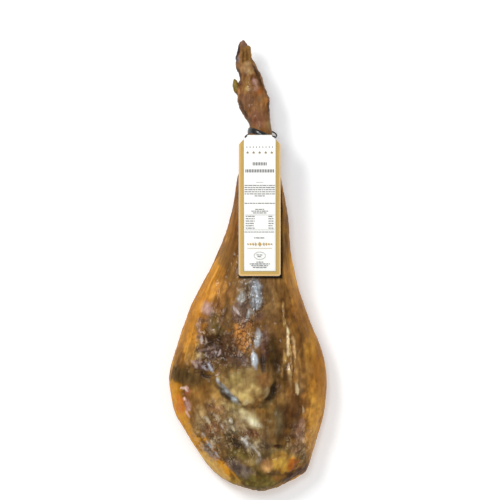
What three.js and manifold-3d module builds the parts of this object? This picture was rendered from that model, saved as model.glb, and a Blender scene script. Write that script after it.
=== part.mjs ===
// A whole cured ham lying on its skin side, lean face up and hoof towards +Y, with the black
// hanging strap round its ankle and a card label tied on by a thin cord.
// Millimetres. X across the leg, Y along it, Z up from the surface it rests on.
import * as THREE from "three";
import { mergeVertices } from "three/addons/utils/BufferGeometryUtils.js";
import Module from "manifold-3d";

const wasm = await Module();
wasm.setup();

// ---- Leg ------------------------------------------------------------------------------------
const FOOT_LENGTH = 160; // ankle to the tip of the longer claw
const SHANK_LENGTH = 442; // ankle to the widest part of the thigh
const BUTT_LENGTH = 202; // widest part of the thigh to the rounded end
const ANKLE_WIDTH = 41;
const ANKLE_THICKNESS = 44;
const ANKLE_LIFT = 73; // surface to the middle of the ankle
const THIGH_WIDTH = 285;
const THIGH_THICKNESS = 121; // before its weight presses the underside flat
const PRESSED_FLAT = 6; // how much of that thickness the surface takes away
const ANKLE_Y = 242;
const THIGH_Y = ANKLE_Y - SHANK_LENGTH;
const LEG_RINGS = 66;
const LEG_SIDES = 44;

// ---- Strap ----------------------------------------------------------------------------------
const STRAP_WIDTH = 10;
const STRAP_THICKNESS = 2.6;
const STRAP_EDGE = 1.3; // thickness at its rounded-off edges
const STRAP_Y = 231.9; // mean height of the loop along the leg
const STRAP_SWAY = 10; // how far it rides above and below that height
const STRAP_HIGH_ANGLE = THREE.MathUtils.degToRad(160); // where round the ankle it rides highest
const LOOP_STEPS = 48;

// ---- Label and its cord ---------------------------------------------------------------------
const LABEL_WIDTH = 75;
const LABEL_LENGTH = 252.6;
const LABEL_TOP_WIDTH = 44; // the fold, between the two cut-off corners
const LABEL_CORNER_DROP = 17.4;
const LABEL_CORNER_RADIUS = 5;
const LABEL_X = 21.2;
const LABEL_TOP_Y = 232.8;
const CARD_THICKNESS = 0.8;
const FLAP_LENGTH = 24;
const CORD_DIAMETER = 3;
const CORD_SIDES = 8;
const CORD_SLACK = 3; // how far the loop stands off on its right side
const GAP = 0.3; // between pieces that touch

// ---- Helpers --------------------------------------------------------------------------------
const mix = THREE.MathUtils.lerp;

const plainSolid = (geometry) => {
  const bare = geometry.clone();
  bare.deleteAttribute("normal");
  bare.deleteAttribute("uv");
  const merged = mergeVertices(bare, 1e-4);
  return new wasm.Manifold(
    new wasm.Mesh({
      numProp: 3,
      vertProperties: new Float32Array(merged.attributes.position.array),
      triVerts: new Uint32Array(merged.index.array),
    }),
  );
};

const geometryOf = (solid) => {
  const mesh = solid.getMesh();
  const geometry = new THREE.BufferGeometry();
  geometry.setAttribute("position", new THREE.BufferAttribute(mesh.vertProperties, 3));
  geometry.setIndex(new THREE.BufferAttribute(mesh.triVerts, 1));
  geometry.computeVertexNormals();
  return geometry;
};

const eachVertex = (geometry, place) => {
  const position = geometry.attributes.position;
  const vertex = new THREE.Vector3();
  for (let i = 0; i < position.count; i++) {
    place(vertex.fromBufferAttribute(position, i));
    position.setXYZ(i, vertex.x, vertex.y, vertex.z);
  }
  return geometry;
};

// ---- The leg's sections ---------------------------------------------------------------------
// Each row is one section. along: share of its zone's length. middle: x of its middle.
// wide, thick: shares of the ankle in the foot, of the way from ankle to thigh in the shank, and
// of the thigh in the butt. sink, in the shank, is how far its middle has come down to the thigh's.
const FOOT_ROWS = [
  { along: 0.875, middle: -8, wide: 0, thick: 0 },
  { along: 0.84, middle: -7, wide: 0.55, thick: 0.42 },
  { along: 0.74, middle: -4, wide: 0.88, thick: 0.73 },
  { along: 0.61, middle: 4.5, wide: 0.98, thick: 0.86 },
  { along: 0.48, middle: 8, wide: 1.14, thick: 1 },
  { along: 0.34, middle: 10, wide: 1.44, thick: 1.09 },
  { along: 0.21, middle: 13.5, wide: 1.27, thick: 1.05 },
  { along: 0.08, middle: 21.5, wide: 0.99, thick: 0.98 },
];
const SHANK_ROWS = [
  { along: 0, middle: 23, wide: 0, thick: 0, sink: 0 },
  { along: 0.1, middle: 22, wide: 0.07, thick: 0.11, sink: 0.06 },
  { along: 0.2, middle: 20, wide: 0.165, thick: 0.24, sink: 0.16 },
  { along: 0.32, middle: 21.5, wide: 0.235, thick: 0.43, sink: 0.29 },
  { along: 0.43, middle: 16.5, wide: 0.31, thick: 0.63, sink: 0.44 },
  { along: 0.53, middle: 10, wide: 0.405, thick: 0.78, sink: 0.62 },
  { along: 0.62, middle: 3.5, wide: 0.53, thick: 0.88, sink: 0.78 },
  { along: 0.71, middle: 0, wide: 0.67, thick: 0.94, sink: 0.89 },
  { along: 0.8, middle: 0, wide: 0.79, thick: 0.98, sink: 0.96 },
  { along: 0.9, middle: 1.5, wide: 0.92, thick: 1, sink: 1 },
];
const BUTT_ROWS = [
  { along: 0, middle: 0, wide: 1, thick: 1 },
  { along: 0.16, middle: 2, wide: 0.985, thick: 0.99 },
  { along: 0.34, middle: 5, wide: 0.93, thick: 0.96 },
  { along: 0.5, middle: 10, wide: 0.83, thick: 0.92 },
  { along: 0.66, middle: 14, wide: 0.735, thick: 0.85 },
  { along: 0.79, middle: 18.5, wide: 0.64, thick: 0.75 },
  { along: 0.89, middle: 22, wide: 0.51, thick: 0.61 },
  { along: 0.96, middle: 23, wide: 0.31, thick: 0.4 },
  { along: 1, middle: 23, wide: 0, thick: 0 },
];
const THIGH_MIDDLE = THIGH_THICKNESS / 2 - PRESSED_FLAT;
const WIDEST_LOW = 0.12; // the thigh is widest this share of its thickness below its middle
const FOOT_DROP = 8; // how far the hoof end hangs below the ankle's middle
const BUTT_DROP = 14; // how far the rounded end comes down from the thigh's middle

const sectionOf = (y, row, width, thickness, height, boxiness) => ({
  y,
  left: row.middle - width / 2,
  right: row.middle + width / 2,
  top: height + thickness / 2,
  bottom: height - thickness / 2,
  side: height - thickness * WIDEST_LOW * boxiness,
  boxiness,
});

const SECTIONS = [
  ...FOOT_ROWS.map((row) =>
    sectionOf(
      ANKLE_Y + FOOT_LENGTH * row.along,
      row,
      ANKLE_WIDTH * row.wide,
      ANKLE_THICKNESS * row.thick,
      ANKLE_LIFT - FOOT_DROP * row.along,
      0,
    ),
  ),
  ...SHANK_ROWS.map((row) =>
    sectionOf(
      ANKLE_Y - SHANK_LENGTH * row.along,
      row,
      mix(ANKLE_WIDTH, THIGH_WIDTH, row.wide),
      mix(ANKLE_THICKNESS, THIGH_THICKNESS, row.thick),
      mix(ANKLE_LIFT, THIGH_MIDDLE, row.sink),
      row.sink,
    ),
  ),
  ...BUTT_ROWS.map((row) =>
    sectionOf(
      THIGH_Y - BUTT_LENGTH * row.along,
      row,
      THIGH_WIDTH * row.wide,
      THIGH_THICKNESS * row.thick,
      THIGH_MIDDLE - BUTT_DROP * row.along,
      1,
    ),
  ),
];

// Two smooth curves carry the six numbers of a section from the hoof to the rounded end.
const curveThrough = (pick) =>
  new THREE.CatmullRomCurve3(SECTIONS.map(pick), false, "catmullrom", 0.5);
const outlineCurve = curveThrough((s) => new THREE.Vector3(s.left, s.y, s.right));
const heightCurve = curveThrough((s) => new THREE.Vector3(s.bottom, s.side, s.top));
const boxCurve = curveThrough((s) => new THREE.Vector3(s.boxiness, 0, 0));

const sectionAt = (share) => {
  const outline = outlineCurve.getPoint(share);
  const height = heightCurve.getPoint(share);
  return {
    y: outline.y,
    left: outline.x,
    right: outline.z,
    bottom: height.x,
    side: height.y,
    top: height.z,
    boxiness: boxCurve.getPoint(share).x,
  };
};

const sectionAtY = (y) => {
  let near = 0;
  let far = 1;
  for (let i = 0; i < 40; i++) {
    const share = (near + far) / 2;
    if (outlineCurve.getPoint(share).y > y) near = share;
    else far = share;
  }
  return sectionAt(near);
};

// Exponents of a section's outline: 1 is a plain ellipse, less is fuller at the corners.
const ROUND = 1;
const THIGH_FACE = 0.86;
const THIGH_BELLY = 1;

const power = (value, exponent) => Math.sign(value) * Math.abs(value) ** exponent;

// angle 0 is the leg's right side, a quarter turn is its upper face.
const pointOnSection = (section, angle) => {
  const fullness = Math.sin(angle) > 0 ? THIGH_FACE : THIGH_BELLY;
  const exponent = mix(ROUND, fullness, section.boxiness);
  const across = power(Math.cos(angle), exponent);
  const up = power(Math.sin(angle), exponent);
  const middle = (section.left + section.right) / 2;
  const reach = up > 0 ? section.top - section.side : section.side - section.bottom;
  return new THREE.Vector3(
    middle + (across * (section.right - section.left)) / 2,
    section.y,
    section.side + up * reach,
  );
};

// A point off the leg's skin, straight out from it by the given distance.
const beyondSkin = (angle, y, distance) => {
  const section = sectionAtY(y);
  const step = 0.01;
  const before = pointOnSection(section, angle - step);
  const after = pointOnSection(section, angle + step);
  const outward = new THREE.Vector3(after.z - before.z, 0, before.x - after.x).normalize();
  return pointOnSection(section, angle).addScaledVector(outward, distance);
};

// ---- The lean face's relief -----------------------------------------------------------------
// Soft swells and hollows of the upper face: place, reach across and along, height.
const RELIEF = [
  { x: 22, y: -208, across: 34, along: 32, height: 5 }, // swell over the end of the hip bone
  { x: 44, y: -160, across: 16, along: 60, height: -6 }, // trough to its right
  { x: 4, y: -262, across: 42, along: 22, height: -5 }, // hollow below it
  { x: -66, y: -250, across: 40, along: 60, height: 3 }, // lean swell on the left
  { x: 84, y: -170, across: 16, along: 110, height: 4 }, // long ridge on the right
  { x: -40, y: -120, across: 22, along: 40, height: -4 }, // dip above the bone
];

const reliefAt = (x, y) =>
  RELIEF.reduce((total, { x: cx, y: cy, across, along, height }) => {
    const distance = ((x - cx) / across) ** 2 + ((y - cy) / along) ** 2;
    return total + height * Math.exp(-distance);
  }, 0);

// ---- Ham ------------------------------------------------------------------------------------
const legGeometry = () =>
  eachVertex(new THREE.SphereGeometry(1, LEG_SIDES, LEG_RINGS), (v) => {
    const share = Math.acos(THREE.MathUtils.clamp(v.y, -1, 1)) / Math.PI;
    const section = sectionAt(share);
    const angle = Math.atan2(v.z, v.x);
    v.copy(pointOnSection(section, angle));
    if (Math.hypot(section.right - section.left, section.top - section.bottom) < 1) return;
    const upness = (v.z - section.side) / (section.top - section.side);
    if (upness > 0) v.z += reliefAt(v.x, v.y) * upness * section.boxiness;
    v.z = Math.max(v.z, 0);
  });

// A claw is an egg drawn out to a blunt point, leaning to one side.
const clawGeometry = ({ x, y, z, wide, long, thick, lean, taper }) =>
  eachVertex(new THREE.SphereGeometry(1, 16, 14), (v) => {
    const narrowing = 1 - taper * Math.max(v.y, 0);
    v.set((v.x * narrowing * wide) / 2, (v.y * long) / 2, (v.z * narrowing * thick) / 2);
  })
    .rotateZ(lean)
    .translate(x, ANKLE_Y + y, ANKLE_LIFT + z);

const TOE_CLAW = { long: 56, thick: 25, taper: 0.3 };
const DEWCLAW = { wide: 9, long: 30, thick: 10, taper: 0.35 };
const CLAWS = [
  { ...TOE_CLAW, x: -12.5, y: FOOT_LENGTH - TOE_CLAW.long / 2, z: -13, lean: -0.1, wide: 21 },
  { ...TOE_CLAW, x: -1.5, y: FOOT_LENGTH - 39, z: -4, lean: -0.04, wide: 23 },
  { ...DEWCLAW, x: -21.5, y: 79, z: -4, lean: 0.16 },
  { ...DEWCLAW, x: -12, y: 78, z: -20, lean: 0.2 },
];

const hamGeometry = () => {
  const leg = plainSolid(legGeometry());
  const whole = CLAWS.reduce((solid, claw) => solid.add(plainSolid(clawGeometry(claw))), leg);
  return geometryOf(whole);
};

// ---- Strap ----------------------------------------------------------------------------------
// A closed band: a lathed ring whose every vertex is moved to its place round the ankle.
const RING_RADIUS = 1000;
const ringGeometry = (profile, steps, place) => {
  const points = [...profile, profile[0]].map(([out, up]) => new THREE.Vector2(RING_RADIUS + out, up));
  return eachVertex(new THREE.LatheGeometry(points, steps), (v) => {
    const angle = Math.atan2(v.x, v.z);
    const out = Math.hypot(v.x, v.z) - RING_RADIUS;
    v.copy(place(angle, out, v.y));
  });
};

const strapY = (angle) => STRAP_Y + STRAP_SWAY * Math.cos(angle - STRAP_HIGH_ANGLE);

const strapGeometry = () => {
  const half = STRAP_WIDTH / 2;
  const profile = [
    [0, half],
    [STRAP_EDGE, half],
    [STRAP_THICKNESS, half / 2],
    [STRAP_THICKNESS, -half / 2],
    [STRAP_EDGE, -half],
    [0, -half],
  ];
  return ringGeometry(profile, LOOP_STEPS, (angle, out, up) =>
    beyondSkin(angle, strapY(angle) + up, GAP + out),
  );
};

// ---- Label ----------------------------------------------------------------------------------
// Its own frame: x across, y from the fold at 0 down to -LABEL_LENGTH, z 0 at the card's underside.
const SLEEVE_BORE = CORD_DIAMETER / 2 + GAP;
const SLEEVE_OUTER = SLEEVE_BORE + CARD_THICKNESS;
const FLAP_DEPTH = 2 * SLEEVE_BORE + CARD_THICKNESS; // how far the fold reaches below the card

const cardOutline = () => {
  const half = LABEL_WIDTH / 2;
  const top = LABEL_TOP_WIDTH / 2;
  const r = LABEL_CORNER_RADIUS;
  const shape = new THREE.Shape();
  shape.moveTo(-top, -SLEEVE_OUTER);
  shape.lineTo(-half, -LABEL_CORNER_DROP);
  shape.lineTo(-half, r - LABEL_LENGTH);
  shape.absarc(r - half, r - LABEL_LENGTH, r, Math.PI, 1.5 * Math.PI, false);
  shape.lineTo(half - r, -LABEL_LENGTH);
  shape.absarc(half - r, r - LABEL_LENGTH, r, 1.5 * Math.PI, 2 * Math.PI, false);
  shape.lineTo(half, -LABEL_CORNER_DROP);
  shape.lineTo(top, -SLEEVE_OUTER);
  return shape;
};

// The fold and the flap behind it, seen from the side: card rolled back round the cord and glued.
const sleeveProfile = () => {
  const shape = new THREE.Shape();
  shape.moveTo(-FLAP_LENGTH, CARD_THICKNESS);
  shape.lineTo(-FLAP_LENGTH, 0);
  shape.lineTo(-SLEEVE_OUTER, -FLAP_DEPTH);
  shape.absarc(-SLEEVE_OUTER, -SLEEVE_BORE, SLEEVE_OUTER, -Math.PI / 2, Math.PI / 2, false);
  const bore = new THREE.Path();
  const tailShare = (2 * SLEEVE_BORE) / FLAP_DEPTH;
  bore.moveTo(-SLEEVE_OUTER, 0);
  bore.absarc(-SLEEVE_OUTER, -SLEEVE_BORE, SLEEVE_BORE, Math.PI / 2, -Math.PI / 2, true);
  bore.lineTo(mix(-SLEEVE_OUTER, -FLAP_LENGTH, tailShare), 0);
  shape.holes.push(bore);
  return shape;
};

const labelGeometry = () => {
  const card = new THREE.ExtrudeGeometry(cardOutline(), {
    depth: CARD_THICKNESS,
    bevelEnabled: false,
    curveSegments: 8,
  });
  const sleeve = new THREE.ExtrudeGeometry(sleeveProfile(), {
    depth: LABEL_TOP_WIDTH,
    bevelEnabled: false,
    curveSegments: 10,
  });
  // Extruded along its own z, then turned so that its profile stands across the label.
  const turn = new THREE.Matrix4().makeBasis(
    new THREE.Vector3(0, 1, 0),
    new THREE.Vector3(0, 0, 1),
    new THREE.Vector3(1, 0, 0),
  );
  sleeve.applyMatrix4(turn).translate(-LABEL_TOP_WIDTH / 2, 0, 0);
  return geometryOf(plainSolid(card).add(plainSolid(sleeve)));
};

// The fold rests on the strap over the ankle, and the card leans on the shank below.
const ANKLE_FACE = sectionAtY(LABEL_TOP_Y - SLEEVE_OUTER).top;
const LABEL_Z = ANKLE_FACE + GAP + STRAP_THICKNESS + GAP + FLAP_DEPTH;

const skinHeight = (x, y) => {
  const section = sectionAtY(y);
  const middle = (section.left + section.right) / 2;
  const across = Math.min(1, Math.abs(x - middle) / ((section.right - section.left) / 2));
  const exponent = mix(ROUND, THIGH_FACE, section.boxiness);
  const up = Math.sqrt(Math.max(0, 1 - across ** (2 / exponent))) ** exponent;
  return section.side + (section.top - section.side) * up + reliefAt(x, y) * up * section.boxiness;
};

const restingTilt = () => {
  let tilt = 0;
  for (let down = FLAP_LENGTH; down <= LABEL_LENGTH; down += 5) {
    for (let x = -LABEL_WIDTH / 2; x <= LABEL_WIDTH / 2; x += LABEL_WIDTH / 10) {
      const rise = skinHeight(LABEL_X + x, LABEL_TOP_Y - down) + GAP - LABEL_Z;
      tilt = Math.max(tilt, Math.atan2(rise, down));
    }
  }
  return tilt;
};

// ---- Cord -----------------------------------------------------------------------------------
// A closed loop: through the label's fold, round both sides of the ankle and behind it.
const cordPath = (boreAt) => {
  const radius = CORD_DIAMETER / 2;
  const overStrap = GAP + STRAP_THICKNESS + GAP + radius; // it crosses the strap behind the ankle
  const half = LABEL_TOP_WIDTH / 2;
  const round = (degrees, y, standOff) =>
    beyondSkin(THREE.MathUtils.degToRad(degrees), y, overStrap + standOff);
  const points = [
    boreAt(0),
    boreAt(half),
    boreAt(half + CORD_DIAMETER),
    round(28, LABEL_TOP_Y - 4, CORD_SLACK),
    round(0, LABEL_TOP_Y + 1, CORD_SLACK * 0.6),
    round(-28, LABEL_TOP_Y + 6, CORD_SLACK * 0.2),
    round(-60, LABEL_TOP_Y + 9, 0),
    round(-90, LABEL_TOP_Y + 9, 0),
    round(-120, LABEL_TOP_Y + 6, 0),
    round(-155, LABEL_TOP_Y + 1, 0),
    round(180, LABEL_TOP_Y - 3, 0),
    round(157, LABEL_TOP_Y - 4.5, 0.6),
    boreAt(-half - CORD_DIAMETER),
    boreAt(-half),
  ];
  return new THREE.CatmullRomCurve3(points, true, "centripetal");
};

const cordGeometry = (path) => {
  const radius = CORD_DIAMETER / 2;
  const profile = [];
  for (let i = 0; i < CORD_SIDES; i++) {
    const angle = (-2 * Math.PI * i) / CORD_SIDES;
    profile.push([radius * Math.cos(angle), radius * Math.sin(angle)]);
  }
  const ankle = sectionAtY(LABEL_TOP_Y);
  const ankleMiddle = new THREE.Vector3((ankle.left + ankle.right) / 2, 0, ankle.side);
  return ringGeometry(profile, 2 * LOOP_STEPS, (angle, out, up) => {
    const share = THREE.MathUtils.euclideanModulo(angle / (2 * Math.PI), 1);
    const point = path.getPointAt(share);
    const tangent = path.getTangentAt(share);
    const away = point.clone().sub(ankleMiddle).setY(0);
    const outward = away.addScaledVector(tangent, -away.dot(tangent)).normalize();
    const sideways = new THREE.Vector3().crossVectors(tangent, outward);
    return point.addScaledVector(outward, out).addScaledVector(sideways, up);
  });
};

// ---- Assembly -------------------------------------------------------------------------------
const finish = (color, roughness) =>
  new THREE.MeshStandardMaterial({ color, roughness, metalness: 0 });

const piece = (name, geometry, material) => {
  const mesh = new THREE.Mesh(geometry, material);
  mesh.name = name;
  return mesh;
};

const label = piece("label_card", labelGeometry(), finish(0xf4f1e8, 0.5));
label.position.set(LABEL_X, LABEL_TOP_Y, LABEL_Z);
label.rotation.x = -restingTilt();
label.updateMatrix();
const boreAt = (x) => new THREE.Vector3(x, -SLEEVE_OUTER, -SLEEVE_BORE).applyMatrix4(label.matrix);

const object = new THREE.Group();
object.add(
  piece("ham", hamGeometry(), finish(0x8a5a22, 0.4)),
  piece("hanging_strap", strapGeometry(), finish(0x0c0c0d, 0.25)),
  piece("label_cord", cordGeometry(cordPath(boreAt)), finish(0x10180f, 0.6)),
  label,
);

// The origin is under the middle of the whole object.
const box = new THREE.Box3().setFromObject(object);
const middle = box.getCenter(new THREE.Vector3());
object.position.set(-middle.x, -middle.y, -box.min.z);

export default object;
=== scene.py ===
"""A whole cured ham lying lean face up, with its hanging strap, label cord and card label.

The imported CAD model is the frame. The leg is carved from a fine copy of its CAD solid: broad forms,
folds, ridges and wrinkles are moved in the mesh, and its colours are painted on it as attributes that
one meat material reads. Lengths on the leg and the label are millimetres in the frame's own axes, and
those of materials, lights and the camera are metres.
"""

import logging
import math
from dataclasses import dataclass, field
from enum import Enum
from typing import Protocol, Sequence

import bmesh
import bpy
import numpy as np
from mathutils import Matrix, Vector


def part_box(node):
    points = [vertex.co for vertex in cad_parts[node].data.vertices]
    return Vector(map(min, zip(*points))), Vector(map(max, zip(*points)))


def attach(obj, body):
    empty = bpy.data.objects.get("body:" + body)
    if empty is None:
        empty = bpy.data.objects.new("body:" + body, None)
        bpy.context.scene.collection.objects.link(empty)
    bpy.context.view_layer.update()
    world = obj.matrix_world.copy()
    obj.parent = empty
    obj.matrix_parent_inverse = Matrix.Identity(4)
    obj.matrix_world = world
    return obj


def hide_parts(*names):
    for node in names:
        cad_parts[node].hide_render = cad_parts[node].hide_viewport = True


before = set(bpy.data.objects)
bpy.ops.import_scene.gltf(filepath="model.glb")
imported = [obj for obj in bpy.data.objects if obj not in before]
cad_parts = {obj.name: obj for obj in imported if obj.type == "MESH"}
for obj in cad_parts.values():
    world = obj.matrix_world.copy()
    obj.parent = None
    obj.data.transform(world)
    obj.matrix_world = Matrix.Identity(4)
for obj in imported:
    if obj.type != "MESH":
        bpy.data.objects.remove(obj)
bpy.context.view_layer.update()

log = logging.getLogger("cured_ham")

MM = 0.001
LUMP_SEED = 40
GLINT_SEED = 60
NET_SEED = 80
Array = np.ndarray
Number = float | bpy.types.NodeSocket
Shade = tuple[float, float, float] | bpy.types.NodeSocket


def linear(hex_colour: str) -> tuple[float, float, float]:
    """Turn a display colour into the linear one that shaders use.

    Args:
        hex_colour: six hexadecimal digits.

    Returns:
        The linear red, green and blue.
    """
    parts = (int(hex_colour[i : i + 2], 16) / 255 for i in (0, 2, 4))
    return tuple(c / 12.92 if c <= 0.04045 else ((c + 0.055) / 1.055) ** 2.4 for c in parts)


def smoothstep(low: float, high: float, value: Array) -> Array:
    """Ease from 0 at low to 1 at high.

    Args:
        low: where the result is 0.
        high: where the result is 1.
        value: what to ease.

    Returns:
        The eased values.
    """
    t = np.clip((value - low) / (high - low), 0.0, 1.0)
    return t * t * (3.0 - 2.0 * t)


def thin_lines(grain: Array, sharp: float) -> Array:
    """Turn a grain into thin lines along its middle value.

    Args:
        grain: values from about -1 to 1.
        sharp: how thin the lines are.

    Returns:
        1 on a line, falling to 0 between lines.
    """
    return (1.0 - np.abs(grain)) ** sharp


class Grain:
    """Smooth seeded noise in space, from -1 to 1."""

    def __init__(self, seed: int) -> None:
        """Draw the table of values.

        Args:
            seed: which grain this is.
        """
        rng = np.random.default_rng(seed)
        self.order = rng.permutation(256)
        self.values = rng.uniform(-1.0, 1.0, 256)

    def at(self, places: Array) -> Array:
        """Read the grain.

        Args:
            places: points, one row each, in grains.

        Returns:
            One value per point.
        """
        cell = np.floor(places).astype(int)
        part = places - cell
        ease = part**3 * (part * (part * 6.0 - 15.0) + 10.0)
        total = np.zeros(len(places))
        for corner in np.ndindex(2, 2, 2):
            x, y, z = (cell + corner).T & 255
            found = self.values[self.order[(self.order[(self.order[x] + y) & 255] + z) & 255]]
            weight = np.prod(np.where(corner, ease, 1.0 - ease), axis=1)
            total += found * weight
        return total

    def rough(self, places: Array, octaves: int = 3) -> Array:
        """Read several sizes of the grain at once.

        Args:
            places: points, one row each, in the largest grains.
            octaves: how many sizes, each half the last.

        Returns:
            One value per point.
        """
        return sum(self.at(places * 2.0**k + 17.3 * k) * 0.5**k for k in range(octaves))


class Profile(Enum):
    """The cross-section of a stroke drawn on the surface."""

    RIDGE = "a round ridge"
    CREST = "a sharp ridge"
    GROOVE = "a round groove"
    CUT = "a sharp, narrow cut"
    LEDGE = "high on the left of the stroke's direction, falling at the stroke"


@dataclass(frozen=True)
class Patch:
    """An oval area of the leg with soft, ragged edges."""

    x: float
    y: float
    across: float
    along: float
    turn: float = 0.0
    soft: float = 0.35
    rag: float = 0.35

    def weight(self, x: Array, y: Array, ragged: Array) -> Array:
        """Work out how much each point is in the patch.

        Args:
            x: places across the leg.
            y: places along it.
            ragged: noise that breaks up the edge.

        Returns:
            0 outside to 1 inside.
        """
        c, s = math.cos(math.radians(self.turn)), math.sin(math.radians(self.turn))
        u = ((x - self.x) * c + (y - self.y) * s) / self.across
        v = (-(x - self.x) * s + (y - self.y) * c) / self.along
        distance = np.hypot(u, v) + self.rag * ragged
        return smoothstep(1.0 + self.soft, 1.0 - self.soft, distance)


@dataclass(frozen=True)
class Line:
    """A brush line over the leg, tapered at its ends. Its width is measured from its middle."""

    points: tuple[tuple[float, float], ...]
    width: float
    soft: float = 0.5
    rag: float = 0.5

    def follow(self, x: Array, y: Array) -> tuple[Array, Array, Array]:
        """Measure each point against the line.

        Args:
            x: places across the leg.
            y: places along it.

        Returns:
            The distance from the line, the side of it, and a weight that falls to 0 at its ends.
        """
        nearest = np.full(len(x), 1e9)
        side = np.zeros(len(x))
        run = np.zeros(len(x))
        total = 0.0
        for (ax, ay), (bx, by) in zip(self.points, self.points[1:]):
            dx, dy = bx - ax, by - ay
            length = math.hypot(dx, dy)
            t = np.clip(((x - ax) * dx + (y - ay) * dy) / length**2, 0.0, 1.0)
            distance = np.hypot(x - ax - t * dx, y - ay - t * dy)
            closer = distance < nearest
            nearest = np.where(closer, distance, nearest)
            side = np.where(closer, np.sign(dx * (y - ay) - dy * (x - ax)), side)
            run = np.where(closer, total + t * length, run)
            total += length
        # The ends thin out over three widths, or over a third of a short line.
        taper = min(0.35 * total, 3.0 * self.width)
        fade = smoothstep(-0.2, 1.0, run / taper) * smoothstep(-0.2, 1.0, (total - run) / taper)
        return nearest, side, fade

    def weight(self, x: Array, y: Array, ragged: Array) -> Array:
        """Work out how much each point is on the line.

        Args:
            x: places across the leg.
            y: places along it.
            ragged: noise that breaks up the edge.

        Returns:
            0 off the line to 1 on it.
        """
        nearest, _, fade = self.follow(x, y)
        across = nearest / (self.width * (0.3 + 0.7 * fade)) + self.rag * ragged
        return smoothstep(1.0 + self.soft, 1.0 - self.soft, across) * np.sqrt(fade)


@dataclass(frozen=True)
class Stroke:
    """A fold, ridge or cut that follows a line across the lean face."""

    line: Line
    height: float
    profile: Profile = Profile.RIDGE
    reach: float = 30.0

    def lift(self, surface: "Surface") -> Array:
        """Work out how far this stroke moves each point.

        Args:
            surface: the leg's points.

        Returns:
            The lift of each point, in millimetres.
        """
        nearest, side, fade = self.line.follow(surface.x, surface.y)
        width = self.line.width
        across = nearest / width
        if self.profile is Profile.LEDGE:
            signed = side * nearest
            form = smoothstep(-width, width, signed) * np.exp(-((nearest / self.reach) ** 2))
            form = form - 0.35 * np.exp(-(((signed + width * 0.8) / (width * 0.8)) ** 2))
        elif self.profile is Profile.CREST:
            form = np.exp(-across * 1.6)
        elif self.profile is Profile.CUT:
            form = -np.exp(-(across**1.4))
        elif self.profile is Profile.GROOVE:
            form = -np.exp(-(across**2))
        else:
            form = np.exp(-(across**2))
        return self.height * form * fade


@dataclass(frozen=True)
class Stain:
    """An area of colour and wetness, broken into the thin lines of a net where a mesh size is given."""

    area: Patch | Line
    colour: str
    strength: float = 0.8
    wet: float = 0.0
    net: float = 0.0

    def weight(self, surface: "Surface") -> Array:
        """Work out how strongly each point takes this colour.

        Args:
            surface: the leg's points.

        Returns:
            0 to the stain's strength; only along thin lines for a stain with a net.
        """
        weight = self.area.weight(surface.x, surface.y, surface.ragged) * self.strength
        return weight * surface.glints(self.net) if self.net else weight


@dataclass(frozen=True)
class Relief:
    """An area of raised or sunken surface, or of rough texture."""

    patch: Patch
    lift: float = 0.0
    lumps: float = 0.0
    lump_size: float = 7.0
    net: float = 0.0
    net_size: float = 8.0
    cracks: float = 0.3

    def raised(self, surface: "Surface", seed: int) -> Array:
        """Work out how far this area moves each point.

        Args:
            surface: the leg's points.
            seed: which lumps and net it has.

        Returns:
            The lift of each point, in millimetres.
        """
        weight = self.patch.weight(surface.x, surface.y, surface.ragged)
        form = self.lift + self.lumps * surface.grain(LUMP_SEED + seed, self.lump_size, 2)
        if self.net:
            form = form + self.net * surface.veins(self.net_size)
        return weight * form


# ---- Shader building -----------------------------------------------------------------------------


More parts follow.
